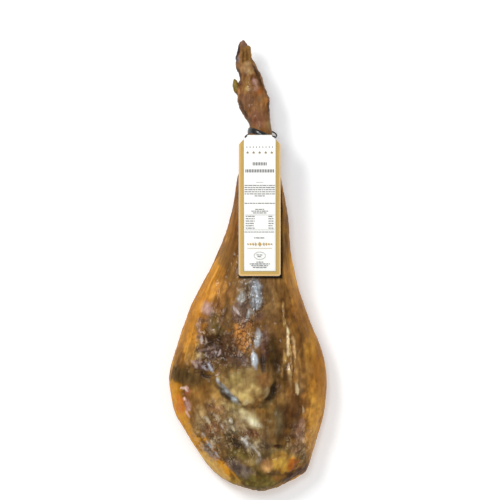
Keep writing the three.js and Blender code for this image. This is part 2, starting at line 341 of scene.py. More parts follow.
class Shader:
    """A material under construction, with short calls for its nodes."""

    def __init__(self, name: str) -> None:
        """Start an empty material.

        Args:
            name: the material's name.
        """
        self.material = bpy.data.materials.new(name)
        self.material.use_nodes = True
        self.tree = self.material.node_tree
        self.surface = self.tree.nodes["Principled BSDF"]
        self.places = self.node("ShaderNodeTexCoord").outputs["Object"]

    def node(self, kind: str, **settings: object) -> bpy.types.Node:
        """Add a node.

        Args:
            kind: the node's type.
            settings: its own properties.

        Returns:
            The node.
        """
        made = self.tree.nodes.new(kind)
        for key, value in settings.items():
            setattr(made, key, value)
        return made

    def join(self, source: bpy.types.NodeSocket, target: bpy.types.NodeSocket) -> None:
        """Link one socket to another."""
        self.tree.links.new(source, target)

    def stretched(self, scale: Sequence[float]) -> bpy.types.NodeSocket:
        """Scale the places a pattern is read at.

        Args:
            scale: how many grains fit in a metre along x, y and z.

        Returns:
            The scaled places.
        """
        mapping = self.node("ShaderNodeMapping")
        mapping.inputs["Scale"].default_value = scale
        self.join(self.places, mapping.inputs["Vector"])
        return mapping.outputs["Vector"]

    def grain(
        self, scale: Sequence[float], detail: float = 3.0, roughness: float = 0.55
    ) -> bpy.types.NodeSocket:
        """Add a noise pattern.

        Args:
            scale: grains in a metre along x, y and z.
            detail: how many finer sizes it has.
            roughness: how strong those are.

        Returns:
            Its factor, from 0 to 1.
        """
        made = self.node("ShaderNodeTexNoise")
        made.inputs["Scale"].default_value = 1.0
        made.inputs["Detail"].default_value = detail
        made.inputs["Roughness"].default_value = roughness
        self.join(self.stretched(scale), made.inputs["Vector"])
        return made.outputs["Fac"]

    def cells(self, scale: Sequence[float]) -> bpy.types.NodeSocket:
        """Add a pattern of uneven cells.

        Args:
            scale: cells in a metre along x, y and z.

        Returns:
            The distance to the nearest edge between two cells, as a share of a cell.
        """
        places = self.stretched(scale)
        wobble = self.node("ShaderNodeTexNoise")
        wobble.inputs["Scale"].default_value = 1.3
        self.join(places, wobble.inputs["Vector"])
        moved = self.node("ShaderNodeVectorMath", operation="ADD")
        self.join(places, moved.inputs[0])
        self.join(wobble.outputs["Color"], moved.inputs[1])
        made = self.node("ShaderNodeTexVoronoi", feature="DISTANCE_TO_EDGE")
        made.inputs["Scale"].default_value = 1.0
        self.join(moved.outputs["Vector"], made.inputs["Vector"])
        return made.outputs["Distance"]

    def attribute(self, name: str, colour: bool = False) -> bpy.types.NodeSocket:
        """Read a value that is stored on the mesh.

        Args:
            name: the attribute's name.
            colour: True for a colour.

        Returns:
            The socket that gives it.
        """
        made = self.node("ShaderNodeAttribute", attribute_name=name)
        return made.outputs["Color" if colour else "Fac"]

    def ramp(
        self, source: bpy.types.NodeSocket, stops: Sequence[tuple[float, float | str]]
    ) -> bpy.types.NodeSocket:
        """Turn a factor into a colour or a number.

        Args:
            source: the factor.
            stops: places from 0 to 1, each with a hexadecimal colour or a grey level.

        Returns:
            The ramp's colour.
        """
        made = self.node("ShaderNodeValToRGB")
        band = made.color_ramp
        while len(band.elements) < len(stops):
            band.elements.new(0.5)
        for element, (place, value) in zip(band.elements, stops):
            element.position = place
            rgb = linear(value) if isinstance(value, str) else (value,) * 3
            element.color = (*rgb, 1.0)
        self.join(source, made.inputs["Fac"])
        return made.outputs["Color"]

    def fill(self, socket: bpy.types.NodeSocket, value: Number | Shade) -> None:
        """Give a socket a link, a colour or a plain value.

        Args:
            socket: the socket.
            value: another node's socket, a linear colour or a number.
        """
        if isinstance(value, bpy.types.NodeSocket):
            self.join(value, socket)
        elif isinstance(value, tuple) and socket.type == "RGBA":
            socket.default_value = (*value, 1.0)
        else:
            socket.default_value = value

    def mix(self, how: str, amount: Number, first: Shade, second: Shade) -> bpy.types.NodeSocket:
        """Blend two colours.

        Args:
            how: the blend mode.
            amount: how much of the second is used.
            first: the colour below.
            second: the colour on top.

        Returns:
            The blended colour.
        """
        made = self.node("ShaderNodeMix", data_type="RGBA", blend_type=how)
        self.fill(made.inputs["Factor"], amount)
        self.fill(made.inputs[6], first)
        self.fill(made.inputs[7], second)
        return made.outputs[2]

    def number(self, how: str, first: Number, second: Number) -> bpy.types.NodeSocket:
        """Work out a number.

        Args:
            how: the operation, such as ADD.
            first: the first number.
            second: the second number.

        Returns:
            The result.
        """
        made = self.node("ShaderNodeMath", operation=how)
        self.fill(made.inputs[0], first)
        self.fill(made.inputs[1], second)
        return made.outputs[0]

    def plus(self, first: Number, second: Number) -> bpy.types.NodeSocket:
        """Add two numbers."""
        return self.number("ADD", first, second)

    def times(self, *factors: Number) -> bpy.types.NodeSocket:
        """Multiply numbers.

        Args:
            factors: two or more numbers.

        Returns:
            Their product.
        """
        product = factors[0]
        for factor in factors[1:]:
            product = self.number("MULTIPLY", product, factor)
        return product

    def bump(self, height: bpy.types.NodeSocket, depth: float, target: str = "Normal") -> None:
        """Give the surface fine relief.

        Args:
            height: the pattern.
            depth: how deep it is, in metres.
            target: the shader's normal that it turns.
        """
        made = self.node("ShaderNodeBump")
        made.inputs["Distance"].default_value = depth
        self.join(height, made.inputs["Height"])
        self.join(made.outputs["Normal"], self.surface.inputs[target])

    def set(self, **numbers: object) -> None:
        """Set the shader's own sockets.

        Args:
            numbers: socket names, with _ for a space, and their values.
        """
        for key, value in numbers.items():
            self.fill(self.surface.inputs[key.replace("_", " ")], value)


class Finish(Protocol):
    """Anything that can make a piece's material."""

    def make(self) -> bpy.types.Material:
        """Build the material."""


@dataclass(frozen=True)
class CuredMeat:
    """Greasy cured lean, fat and skin, coloured by the mesh's own paint."""

    pore_grains: float = 380.0
    fibre_grains: tuple[float, float, float] = (260.0, 45.0, 260.0)
    blotch_grains: tuple[float, float, float] = (90.0, 50.0, 90.0)
    cell_grains: tuple[float, float, float] = (150.0, 95.0, 150.0)
    gap_grains: tuple[float, float, float] = (60.0, 40.0, 60.0)
    net_grains: tuple[float, float, float] = (105.0, 62.0, 105.0)
    bead_grains: tuple[float, float, float] = (85.0, 50.0, 85.0)
    drawn_grains: tuple[float, float, float] = (100.0, 16.0, 100.0)
    crack_colour: str = "4e3220"
    # The pale films' colour: membrane, lightened as painted glints.
    film_and_glint_colour: str = "a8906a"
    crack_strength: float = 0.8
    film_and_glint_strength: float = 0.6
    dry_roughness: float = 0.62
    wet_smoothing: float = 0.44
    least_roughness: float = 0.12
    pore_depth: float = 0.0008
    film_depth: float = 0.0022

    def make(self) -> bpy.types.Material:
        """Build the material.

        Returns:
            The material.
        """
        shader = Shader("cured_meat")
        wet, busy = shader.attribute("wet"), shader.attribute("busy")
        pores = shader.grain((self.pore_grains,) * 3, detail=4.0, roughness=0.65)
        fibres = shader.grain(self.fibre_grains)
        blotches = shader.grain(self.blotch_grains, roughness=0.5)
        speckled = self.speckle(shader, pores, fibres, blotches)
        shader.set(Base_Color=self.crackle(shader, speckled, busy))
        dryness = shader.number("SUBTRACT", self.dry_roughness, shader.times(wet, self.wet_smoothing))
        uneven = shader.times(shader.number("SUBTRACT", blotches, 0.5), 0.35)
        shader.set(Roughness=shader.number("MAXIMUM", shader.plus(dryness, uneven), self.least_roughness))
        shader.bump(shader.plus(shader.times(pores, 0.5), shader.times(fibres, 0.7)), self.pore_depth)
        beads = shader.times(shader.grain(self.bead_grains, detail=2.0, roughness=0.45), busy)
        drawn = shader.times(shader.grain(self.drawn_grains, detail=1.0), 0.3)
        shader.bump(shader.plus(beads, drawn), self.film_depth, "Coat Normal")
        shader.set(
            Subsurface_Weight=0.12,
            Subsurface_Radius=(0.6, 0.25, 0.1),
            Subsurface_Scale=0.006,
            Specular_IOR_Level=0.04,
            Coat_Weight=wet,
            Coat_Roughness=0.12,
        )
        return shader.material

    @staticmethod
    def speckle(
        shader: "Shader",
        pores: bpy.types.NodeSocket,
        fibres: bpy.types.NodeSocket,
        blotches: bpy.types.NodeSocket,
    ) -> bpy.types.NodeSocket:
        """Break up the mesh's paint with blotches, fibres and pores.

        Args:
            shader: the material.
            pores: the pattern of pores.
            fibres: the pattern of fibres.
            blotches: the pattern of blotches.

        Returns:
            The broken colour.
        """
        paint = shader.attribute("paint", colour=True)
        fine = shader.mix("OVERLAY", 0.4, paint, shader.ramp(blotches, [(0.25, 0.25), (0.75, 0.75)]))
        streaked = shader.mix("OVERLAY", 0.12, fine, shader.ramp(fibres, [(0.3, 0.25), (0.7, 0.75)]))
        return shader.mix("MULTIPLY", 0.2, streaked, shader.ramp(pores, [(0.32, 0.45), (0.6, 1.0)]))

    def crackle(
        self, shader: "Shader", under: bpy.types.NodeSocket, busy: bpy.types.NodeSocket
    ) -> bpy.types.NodeSocket:
        """Draw dark cracks over a colour, and pale films beside them that are partly membrane and partly
        painted glints.

        Args:
            shader: the material.
            under: the colour.
            busy: how rough each place is.

        Returns:
            The crackled colour.
        """
        edges = shader.cells(self.cell_grains)
        gaps = shader.ramp(shader.grain(self.gap_grains, detail=1.0), [(0.4, 0.0), (0.56, 1.0)])
        dark = shader.ramp(edges, [(0.02, 1.0), (0.16, 0.0)])
        cracks = shader.times(dark, self.crack_strength, shader.attribute("cracked"), gaps)
        cracked = shader.mix("MULTIPLY", cracks, under, linear(self.crack_colour))
        # Pale bands along the cells' edges, in patches: membrane colour with painted glints.
        pale = shader.ramp(edges, [(0.1, 0.0), (0.22, 1.0), (0.36, 0.0)])
        glow = shader.ramp(shader.grain(self.net_grains, detail=1.0), [(0.48, 0.0), (0.62, 1.0)])
        films_and_glints = shader.times(pale, self.film_and_glint_strength, busy, glow)
        return shader.mix("SCREEN", films_and_glints, cracked, linear(self.film_and_glint_colour))


@dataclass(frozen=True)
class GlossPlastic:
    """Shiny black strap plastic with faint drawn lines along it."""

    colour: str = "050507"

    def make(self) -> bpy.types.Material:
        """Build the material.

        Returns:
            The material.
        """
        shader = Shader("strap_plastic")
        lines = shader.grain((200.0, 1600.0, 200.0), detail=2.0)
        shader.set(Base_Color=shader.ramp(lines, [(0.3, self.colour), (0.75, "111114")]))
        shader.set(Roughness=shader.ramp(lines, [(0.2, 0.2), (0.8, 0.3)]), Specular_IOR_Level=0.6)
        shader.bump(lines, 0.0001)
        return shader.material


@dataclass(frozen=True)
class TwistedFibre:
    """Dark green-black cord with a fine fibre grain."""

    def make(self) -> bpy.types.Material:
        """Build the material.

        Returns:
            The material.
        """
        shader = Shader("cord_fibre")
        fibres = shader.grain((1500.0, 1500.0, 1500.0), detail=3.0)
        shader.set(Base_Color=shader.ramp(fibres, [(0.3, "080d09"), (0.7, "27352a")]), Roughness=0.7)
        shader.bump(fibres, 0.0004)
        return shader.material


@dataclass(frozen=True)
class CoatedCard:
    """White coated card with a faint paper tooth."""

    colour: str = "fbfaf6"

    def make(self) -> bpy.types.Material:
        """Build the material.

        Returns:
            The material.
        """
        shader = Shader("printed_card")
        tooth = shader.grain((900.0, 900.0, 900.0), detail=3.0)
        shader.set(Base_Color=shader.ramp(tooth, [(0.2, "f4f2ec"), (0.8, self.colour)]), Roughness=0.5)
        shader.bump(tooth, 0.00005)
        return shader.material


@dataclass(frozen=True)
class GoldFoil:
    """Satin gold foil, brushed along the label, lighter or darker by part."""

    name: str
    light: str
    dark: str

    def make(self) -> bpy.types.Material:
        """Build the material.

        Returns:
            The material.
        """
        shader = Shader(self.name)
        brushed = shader.grain((700.0, 60.0, 700.0), detail=3.0)
        shader.set(Base_Color=shader.ramp(brushed, [(0.25, self.dark), (0.7, self.light)]))
        shader.set(Metallic=0.35, Roughness=shader.ramp(brushed, [(0.2, 0.32), (0.8, 0.45)]))
        shader.bump(brushed, 0.00004)
        return shader.material


@dataclass(frozen=True)
class PrintInk:
    """Matt printing ink with uneven coverage."""

    name: str
    light: str
    dark: str

    def make(self) -> bpy.types.Material:
        """Build the material.

        Returns:
            The material.
        """
        shader = Shader(self.name)
        cover = shader.grain((1200.0, 1200.0, 1200.0), detail=2.0)
        shader.set(Base_Color=shader.ramp(cover, [(0.3, self.dark), (0.75, self.light)]), Roughness=0.6)
        return shader.material


# ---- Mesh helpers --------------------------------------------------------------------------------


def made_of(work: bmesh.types.BMesh, name: str) -> bpy.types.Object:
    """Turn a finished bmesh into an object in the scene.

    Args:
        work: the bmesh, which is freed.
        name: the object's name.

    Returns:
        The object.
    """
    mesh = bpy.data.meshes.new(name)
    work.to_mesh(mesh)
    work.free()
    made = bpy.data.objects.new(name, mesh)
    bpy.context.scene.collection.objects.link(made)
    return made


def merged_copy(node: bpy.types.Object, name: str) -> bpy.types.Object:
    """Copy a CAD node's mesh into a new object with its loose triangles joined.

    Args:
        node: the CAD node.
        name: the new object's name.

    Returns:
        The new object.
    """
    work = bmesh.new()
    work.from_mesh(node.data)
    bmesh.ops.remove_doubles(work, verts=work.verts, dist=1e-6)
    return made_of(work, name)


def baked(made: bpy.types.Object) -> None:
    """Apply an object's modifiers to its mesh.

    Args:
        made: the object.
    """
    graph = bpy.context.evaluated_depsgraph_get()
    mesh = bpy.data.meshes.new_from_object(made.evaluated_get(graph))
    made.modifiers.clear()
    made.data = mesh


def mounted(made: bpy.types.Object, material: bpy.types.Material) -> bpy.types.Object:
    """Dress a piece and fix it to the object.

    Args:
        made: the piece.
        material: its material.

    Returns:
        The piece.
    """
    made.data.materials.clear()
    made.data.materials.append(material)
    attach(made, "root")
    log.info("%s: %d faces", made.name, len(made.data.polygons))
    return made


# ---- The ham -------------------------------------------------------------------------------------


@dataclass
class Surface:
    """The leg's points before carving, with the coordinates that its folds and colours are drawn in."""

    p: Array
    n: Array
    warp_size: float = 24.0
    warp: float = 3.0
    ragged_size: float = 9.0
    ring_length: float = 12.0
    narrowest: float = 60.0
    fan_width: float = 100.0

    def __post_init__(self) -> None:
        """Work out the warped places, the ragged edges and the direction of the fibres."""
        self.x = self.p[:, 0] + self.warp * self.grain(1, self.warp_size)
        self.y = self.p[:, 1] + self.warp * self.grain(2, self.warp_size)
        self.ragged = self.grain(3, self.ragged_size, 4)
        self.face = smoothstep(0.0, 0.5, self.n[:, 2])
        self.fan = self.fibre_places()

    def fibre_places(self) -> Array:
        """Spread the fibres like a fan, from the ankle out to the butt.

        Returns:
            Places whose first number stays the same along one fibre.
        """
        x, y = self.p[:, 0], self.p[:, 1]
        ring = ((y - y.min()) / self.ring_length).astype(int)
        low, high = np.full(ring.max() + 1, 1e9), np.full(ring.max() + 1, -1e9)
        np.minimum.at(low, ring, x)
        np.maximum.at(high, ring, x)
        middles = (np.arange(len(low)) + 0.5) * self.ring_length + y.min()
        centre = np.interp(y, middles, (high + low) / 2)
        half = np.maximum(np.interp(y, middles, (high - low) / 2), self.narrowest)
        return np.stack([(x - centre) / half * self.fan_width, y, self.p[:, 2]], axis=1)

    def along(self, seed: int, across: float, length: float, octaves: int = 3) -> Array:
        """Read a grain that is drawn out along the fibres.

        Args:
            seed: which grain.
            across: its size across the fibres.
            length: its size along them.
            octaves: how many sizes.

        Returns:
            One value per point.
        """
        return Grain(seed).rough(self.fan / (across, length, across), octaves)

    def grain(self, seed: int, size: float | tuple[float, float, float], octaves: int = 3) -> Array:
        """Read a grain in the leg's own axes.

        Args:
            seed: which grain.
            size: its size, or its sizes along x, y and z.
            octaves: how many sizes.

        Returns:
            One value per point.
        """
        return Grain(seed).rough(self.p / size, octaves)

    def veins(self, size: float, sharp: float = 5.0) -> Array:
        """Read a net of thin lines. Nets of one size are the same, so colour follows relief.

        Args:
            size: the size of its meshes.
            sharp: how thin the lines are.

        Returns:
            1 on a line, falling to 0 between lines.
        """
        return thin_lines(self.grain(NET_SEED + round(size), (size, size * 1.4, size), 2), sharp)

    def glints(self, size: float) -> Array:
        """Read a net's lines broken into short pieces.

        Args:
            size: the size of the net's meshes.

        Returns:
            1 on a piece of line, 0 elsewhere.
        """
        broken = self.grain(GLINT_SEED + round(size), size * 1.3, 2)
        return self.veins(size, 7.0) * smoothstep(-0.05, 0.4, broken)


@dataclass(frozen=True)
class Bulge:
    """A stretch of the outline that is drawn out past the CAD solid's facets."""

    push: tuple[float, float, float]
    along: tuple[float, float]
    across: tuple[float, float] | None = None
    peak: tuple[float, float] | None = None

    def offset(self, p: Array) -> Array:
        """Work out how far each point is moved.

        Args:
            p: the leg's points.

        Returns:
            The push of each point: it grows between the two places along the leg, and between the two
            across it or towards a peak, which is a middle and a half width.
        """
        weight = smoothstep(*self.along, p[:, 1])
        if self.across:
            weight = weight * smoothstep(*self.across, p[:, 0])
        if self.peak:
            middle, half = self.peak
            weight = weight * np.exp(-(((p[:, 0] - middle) / half) ** 2))
        return weight[:, None] * np.array(self.push)


@dataclass
class Coat:
    """The colour and the wetness of each point of the leg while it is painted."""

    colour: Array
    wet: Array

    def cover(self, colours: Array, weight: Array) -> None:
        """Blend colours over the coat.

        Args:
            colours: one linear colour, or one per point.
            weight: how strongly each point takes it.
        """
        self.colour += (colours - self.colour) * weight[:, None]

    def moisten(self, wet: float, weight: Array) -> None:
        """Blend a wetness over the coat.

        Args:
            wet: the wetness, from 0 to 1.
            weight: how strongly each point takes it.
        """
        self.wet += (wet - self.wet) * weight

    def lay(self, stain: Stain, weight: Array) -> None:
        """Blend a stain's colour and wetness over the coat.

        Args:
            stain: the stain.
            weight: how strongly each point takes it.
        """
        self.cover(np.array(linear(stain.colour)), weight)
        self.moisten(stain.wet, weight)

    def shade(self, amount: Array) -> None:
        """Darken towards red-brown or lighten towards yellow.

        Args:
            amount: below 0 darkens and above 0 lightens.
        """
        amount = np.clip(amount, -0.9, 0.9)[:, None]
        self.colour *= np.exp(amount * np.array([0.85, 1.0, 1.1]))


@dataclass
class Ham:
    """The cured leg: a fine copy of its CAD solid, carved and painted."""

    voxel: float = 2.1 * MM
    facet_smoothing: int = 34
    ankle_y: float = 242.0
    groove_depth: float = 0.15
    # The colour of the label card's painted shadow on the meat.
    card_shadow_colour: str = "1e1309"
    meat: CuredMeat = field(default_factory=CuredMeat)

    # How far round the label the meat stays level: beside it, below it and above it.
    level_round_card: tuple[float, float, float] = (8.5, 10.5, 17.2)

    # The toe, the left of the butt, its middle, its right corner and the left side.
    bulges: tuple[Bulge, ...] = (
        Bulge((1.6, 2.4, 0.0), along=(372, 400)),
        Bulge((0.0, -2.5, 0.0), along=(-325, -392), across=(75, 45)),
        Bulge((0.0, -5.0, 0.0), along=(-325, -392), peak=(22.0, 36.0)),
        Bulge((0.0, -5.0, 0.0), along=(-325, -360), peak=(106.0, 9.0)),
        Bulge((-2.5, -2.5, 0.0), along=(-215, -275), across=(-70, -110)),
    )

    # Folds and ridges of the lean face, each drawn from its start to its end.
    strokes: tuple[Stroke, ...] = (
        # The lean's edge stands above the smooth fat rim on the left.
        Stroke(Line(((-18, -398), (-32, -374), (-42, -360), (-56, -344), (-76, -318), (-88, -292),
                     (-97, -266), (-108, -244), (-122, -216)), 2.4), 3.4, Profile.LEDGE, 26),
        # The tongue over the end of the hip bone.
        Stroke(Line(((50, -192), (45, -212), (37, -232), (26, -244), (12, -252), (0, -254)), 4.5), -5.0,
               Profile.LEDGE, 34),
        Stroke(Line(((4, -257), (-10, -252), (-18, -242), (-32, -227), (-46, -212), (-62, -202)), 4.5), -6.5,
               Profile.LEDGE, 34),
        Stroke(Line(((48, -206), (44, -222), (38, -238), (30, -246)), 4.0), 6.0, Profile.CUT),
        Stroke(Line(((-60, -212), (-44, -226), (-28, -244), (-14, -256)), 3.0), 4.0, Profile.CUT),
        # The bright crests left of the dark trough, and the trough.
        Stroke(Line(((20, -108), (20, -128), (14, -150)), 4.0), 3.6, Profile.CREST),
        Stroke(Line(((8, -150), (10, -168), (14, -192)), 4.6), 4.4, Profile.CREST),
        Stroke(Line(((38, -112), (41, -140), (44, -165), (48, -190), (52, -210)), 13.0), 4.5, Profile.GROOVE),
        Stroke(Line(((24, -150), (24, -172), (26, -194)), 2.4), 3.4, Profile.CUT),
        Stroke(Line(((0, -150), (-6, -168), (-2, -180)), 2.6), 2.4, Profile.CUT),
        # Long ridges down the right side.
        Stroke(Line(((62, -60), (66, -100), (72, -126), (80, -156), (80, -186), (74, -216)), 3.2), 3.6,
               Profile.CREST),
        Stroke(Line(((78, -118), (86, -150), (88, -190), (92, -226), (94, -262)), 3.0), 2.6, Profile.CREST),
        Stroke(Line(((58, -150), (62, -178), (64, -214), (60, -246)), 3.0), 2.4, Profile.CREST),
        Stroke(Line(((30, -34), (32, -70), (38, -100)), 2.4), 1.8, Profile.CREST),
        Stroke(Line(((70, -86), (76, -130), (84, -180), (84, -236)), 3.0), 2.8, Profile.GROOVE),
        Stroke(Line(((96, -190), (104, -220), (108, -256), (106, -290)), 4.0), 2.4, Profile.CREST),
        Stroke(Line(((108, -262), (106, -292), (112, -318)), 3.0), 2.8, Profile.CUT),
        Stroke(Line(((46, -10), (56, -44), (64, -72)), 4.0), 2.0, Profile.GROOVE),
        # Folds across the upper left.
        Stroke(Line(((-96, -128), (-76, -138), (-54, -134), (-38, -146)), 3.0), 3.8, Profile.CUT),
        Stroke(Line(((-92, -148), (-70, -152), (-48, -146), (-34, -156)), 3.4), 3.0, Profile.RIDGE),
        Stroke(Line(((-100, -172), (-78, -180), (-62, -176), (-48, -184)), 3.4), 3.2, Profile.CREST),
        Stroke(Line(((-96, -188), (-74, -196), (-54, -196)), 3.0), 3.0, Profile.CUT),
        Stroke(Line(((-82, -92), (-88, -116), (-94, -138)), 3.4), 3.0, Profile.CREST),
        Stroke(Line(((-64, -72), (-66, -100), (-70, -128)), 3.6), 2.6, Profile.CREST),
        Stroke(Line(((-46, -86), (-48, -110), (-56, -128)), 3.4), 2.2, Profile.CREST),
        Stroke(Line(((-34, -64), (-36, -96), (-40, -124)), 3.0), 2.4, Profile.GROOVE),
        Stroke(Line(((-56, -16), (-52, -48), (-46, -80)), 3.6), 2.2, Profile.GROOVE),
        Stroke(Line(((-62, -20), (-68, -44), (-66, -62)), 3.6), 2.2, Profile.CREST),
        # Muscle seams below the label.
        Stroke(Line(((-26, -44), (-22, -70), (-28, -104), (-28, -140)), 3.0), 3.0, Profile.CUT),
        Stroke(Line(((0, -40), (0, -60), (-6, -80), (-4, -100)), 2.6), 2.8, Profile.CUT),
        Stroke(Line(((16, -84), (24, -100), (22, -112)), 2.6), 2.4, Profile.CUT),
        # Folds of the butt end.
        Stroke(Line(((30, -258), (32, -286), (40, -312), (48, -330)), 3.4), 2.8, Profile.GROOVE),
        Stroke(Line(((52, -252), (54, -284), (50, -312)), 7.0), 2.8, Profile.RIDGE),
        Stroke(Line(((68, -252), (70, -280), (66, -310)), 3.4), 2.8, Profile.GROOVE),
        Stroke(Line(((-62, -262), (-44, -284), (-22, -306), (2, -326), (16, -346)), 3.4), 3.4, Profile.CUT),
        Stroke(Line(((-84, -262), (-74, -288), (-54, -314), (-28, -338), (0, -354)), 4.0), 2.8,
               Profile.RIDGE),
        Stroke(Line(((-30, -262), (-14, -278), (8, -290), (26, -296)), 3.0), 2.4, Profile.CUT),
        Stroke(Line(((42, -328), (54, -325), (68, -332)), 3.2), 5.5, Profile.CUT),
        Stroke(Line(((40, -338), (46, -352), (42, -366)), 2.8), 2.8, Profile.CUT),
        Stroke(Line(((84, -334), (92, -348), (90, -362)), 2.8), 2.6, Profile.CUT),
        Stroke(Line(((12, -352), (34, -370), (62, -376), (96, -366)), 3.4), 2.6, Profile.GROOVE),
        Stroke(Line(((26, -340), (34, -334), (42, -336)), 3.0), 2.4, Profile.CREST),
    )

    # Raised, sunken and lumpy areas.
    reliefs: tuple[Relief, ...] = (
        Relief(Patch(-6, -214, 44, 34), lift=3.5, lumps=0.3, lump_size=12),
        Relief(Patch(2, -236, 14, 12), lift=1.5),
        Relief(Patch(-8, -126, 24, 38), net=1.5, net_size=6.0, cracks=1.0),
        Relief(Patch(10, -60, 24, 34), net=1.2, net_size=10.0, cracks=0.45),
        Relief(Patch(-66, -112, 34, 30), lumps=1.0, lump_size=9, net=1.0, net_size=9.0),
        Relief(Patch(-70, -168, 42, 30), lumps=1.6, lump_size=8, net=1.2),
        Relief(Patch(-57, -287, 38, 36, 25), lumps=1.6, lump_size=8, net=1.4, net_size=9),
        Relief(Patch(-10, -318, 44, 34), lumps=1.6, lump_size=8, net=1.4, net_size=9),
        Relief(Patch(-62, -330, 34, 12, -42), lumps=1.6, lump_size=6, net=1.8, net_size=6),
        Relief(Patch(92, -318, 24, 34), lumps=1.8, lump_size=8, net=1.5),
        Relief(Patch(64, -354, 22, 14), lift=3.0),
        Relief(Patch(34, -358, 9, 12), lift=2.4),
        Relief(Patch(6, -272, 24, 14), lift=-1.0),
        Relief(Patch(-18, -354, 34, 13, -18), lumps=1.2, net=1.2, net_size=6),
    )

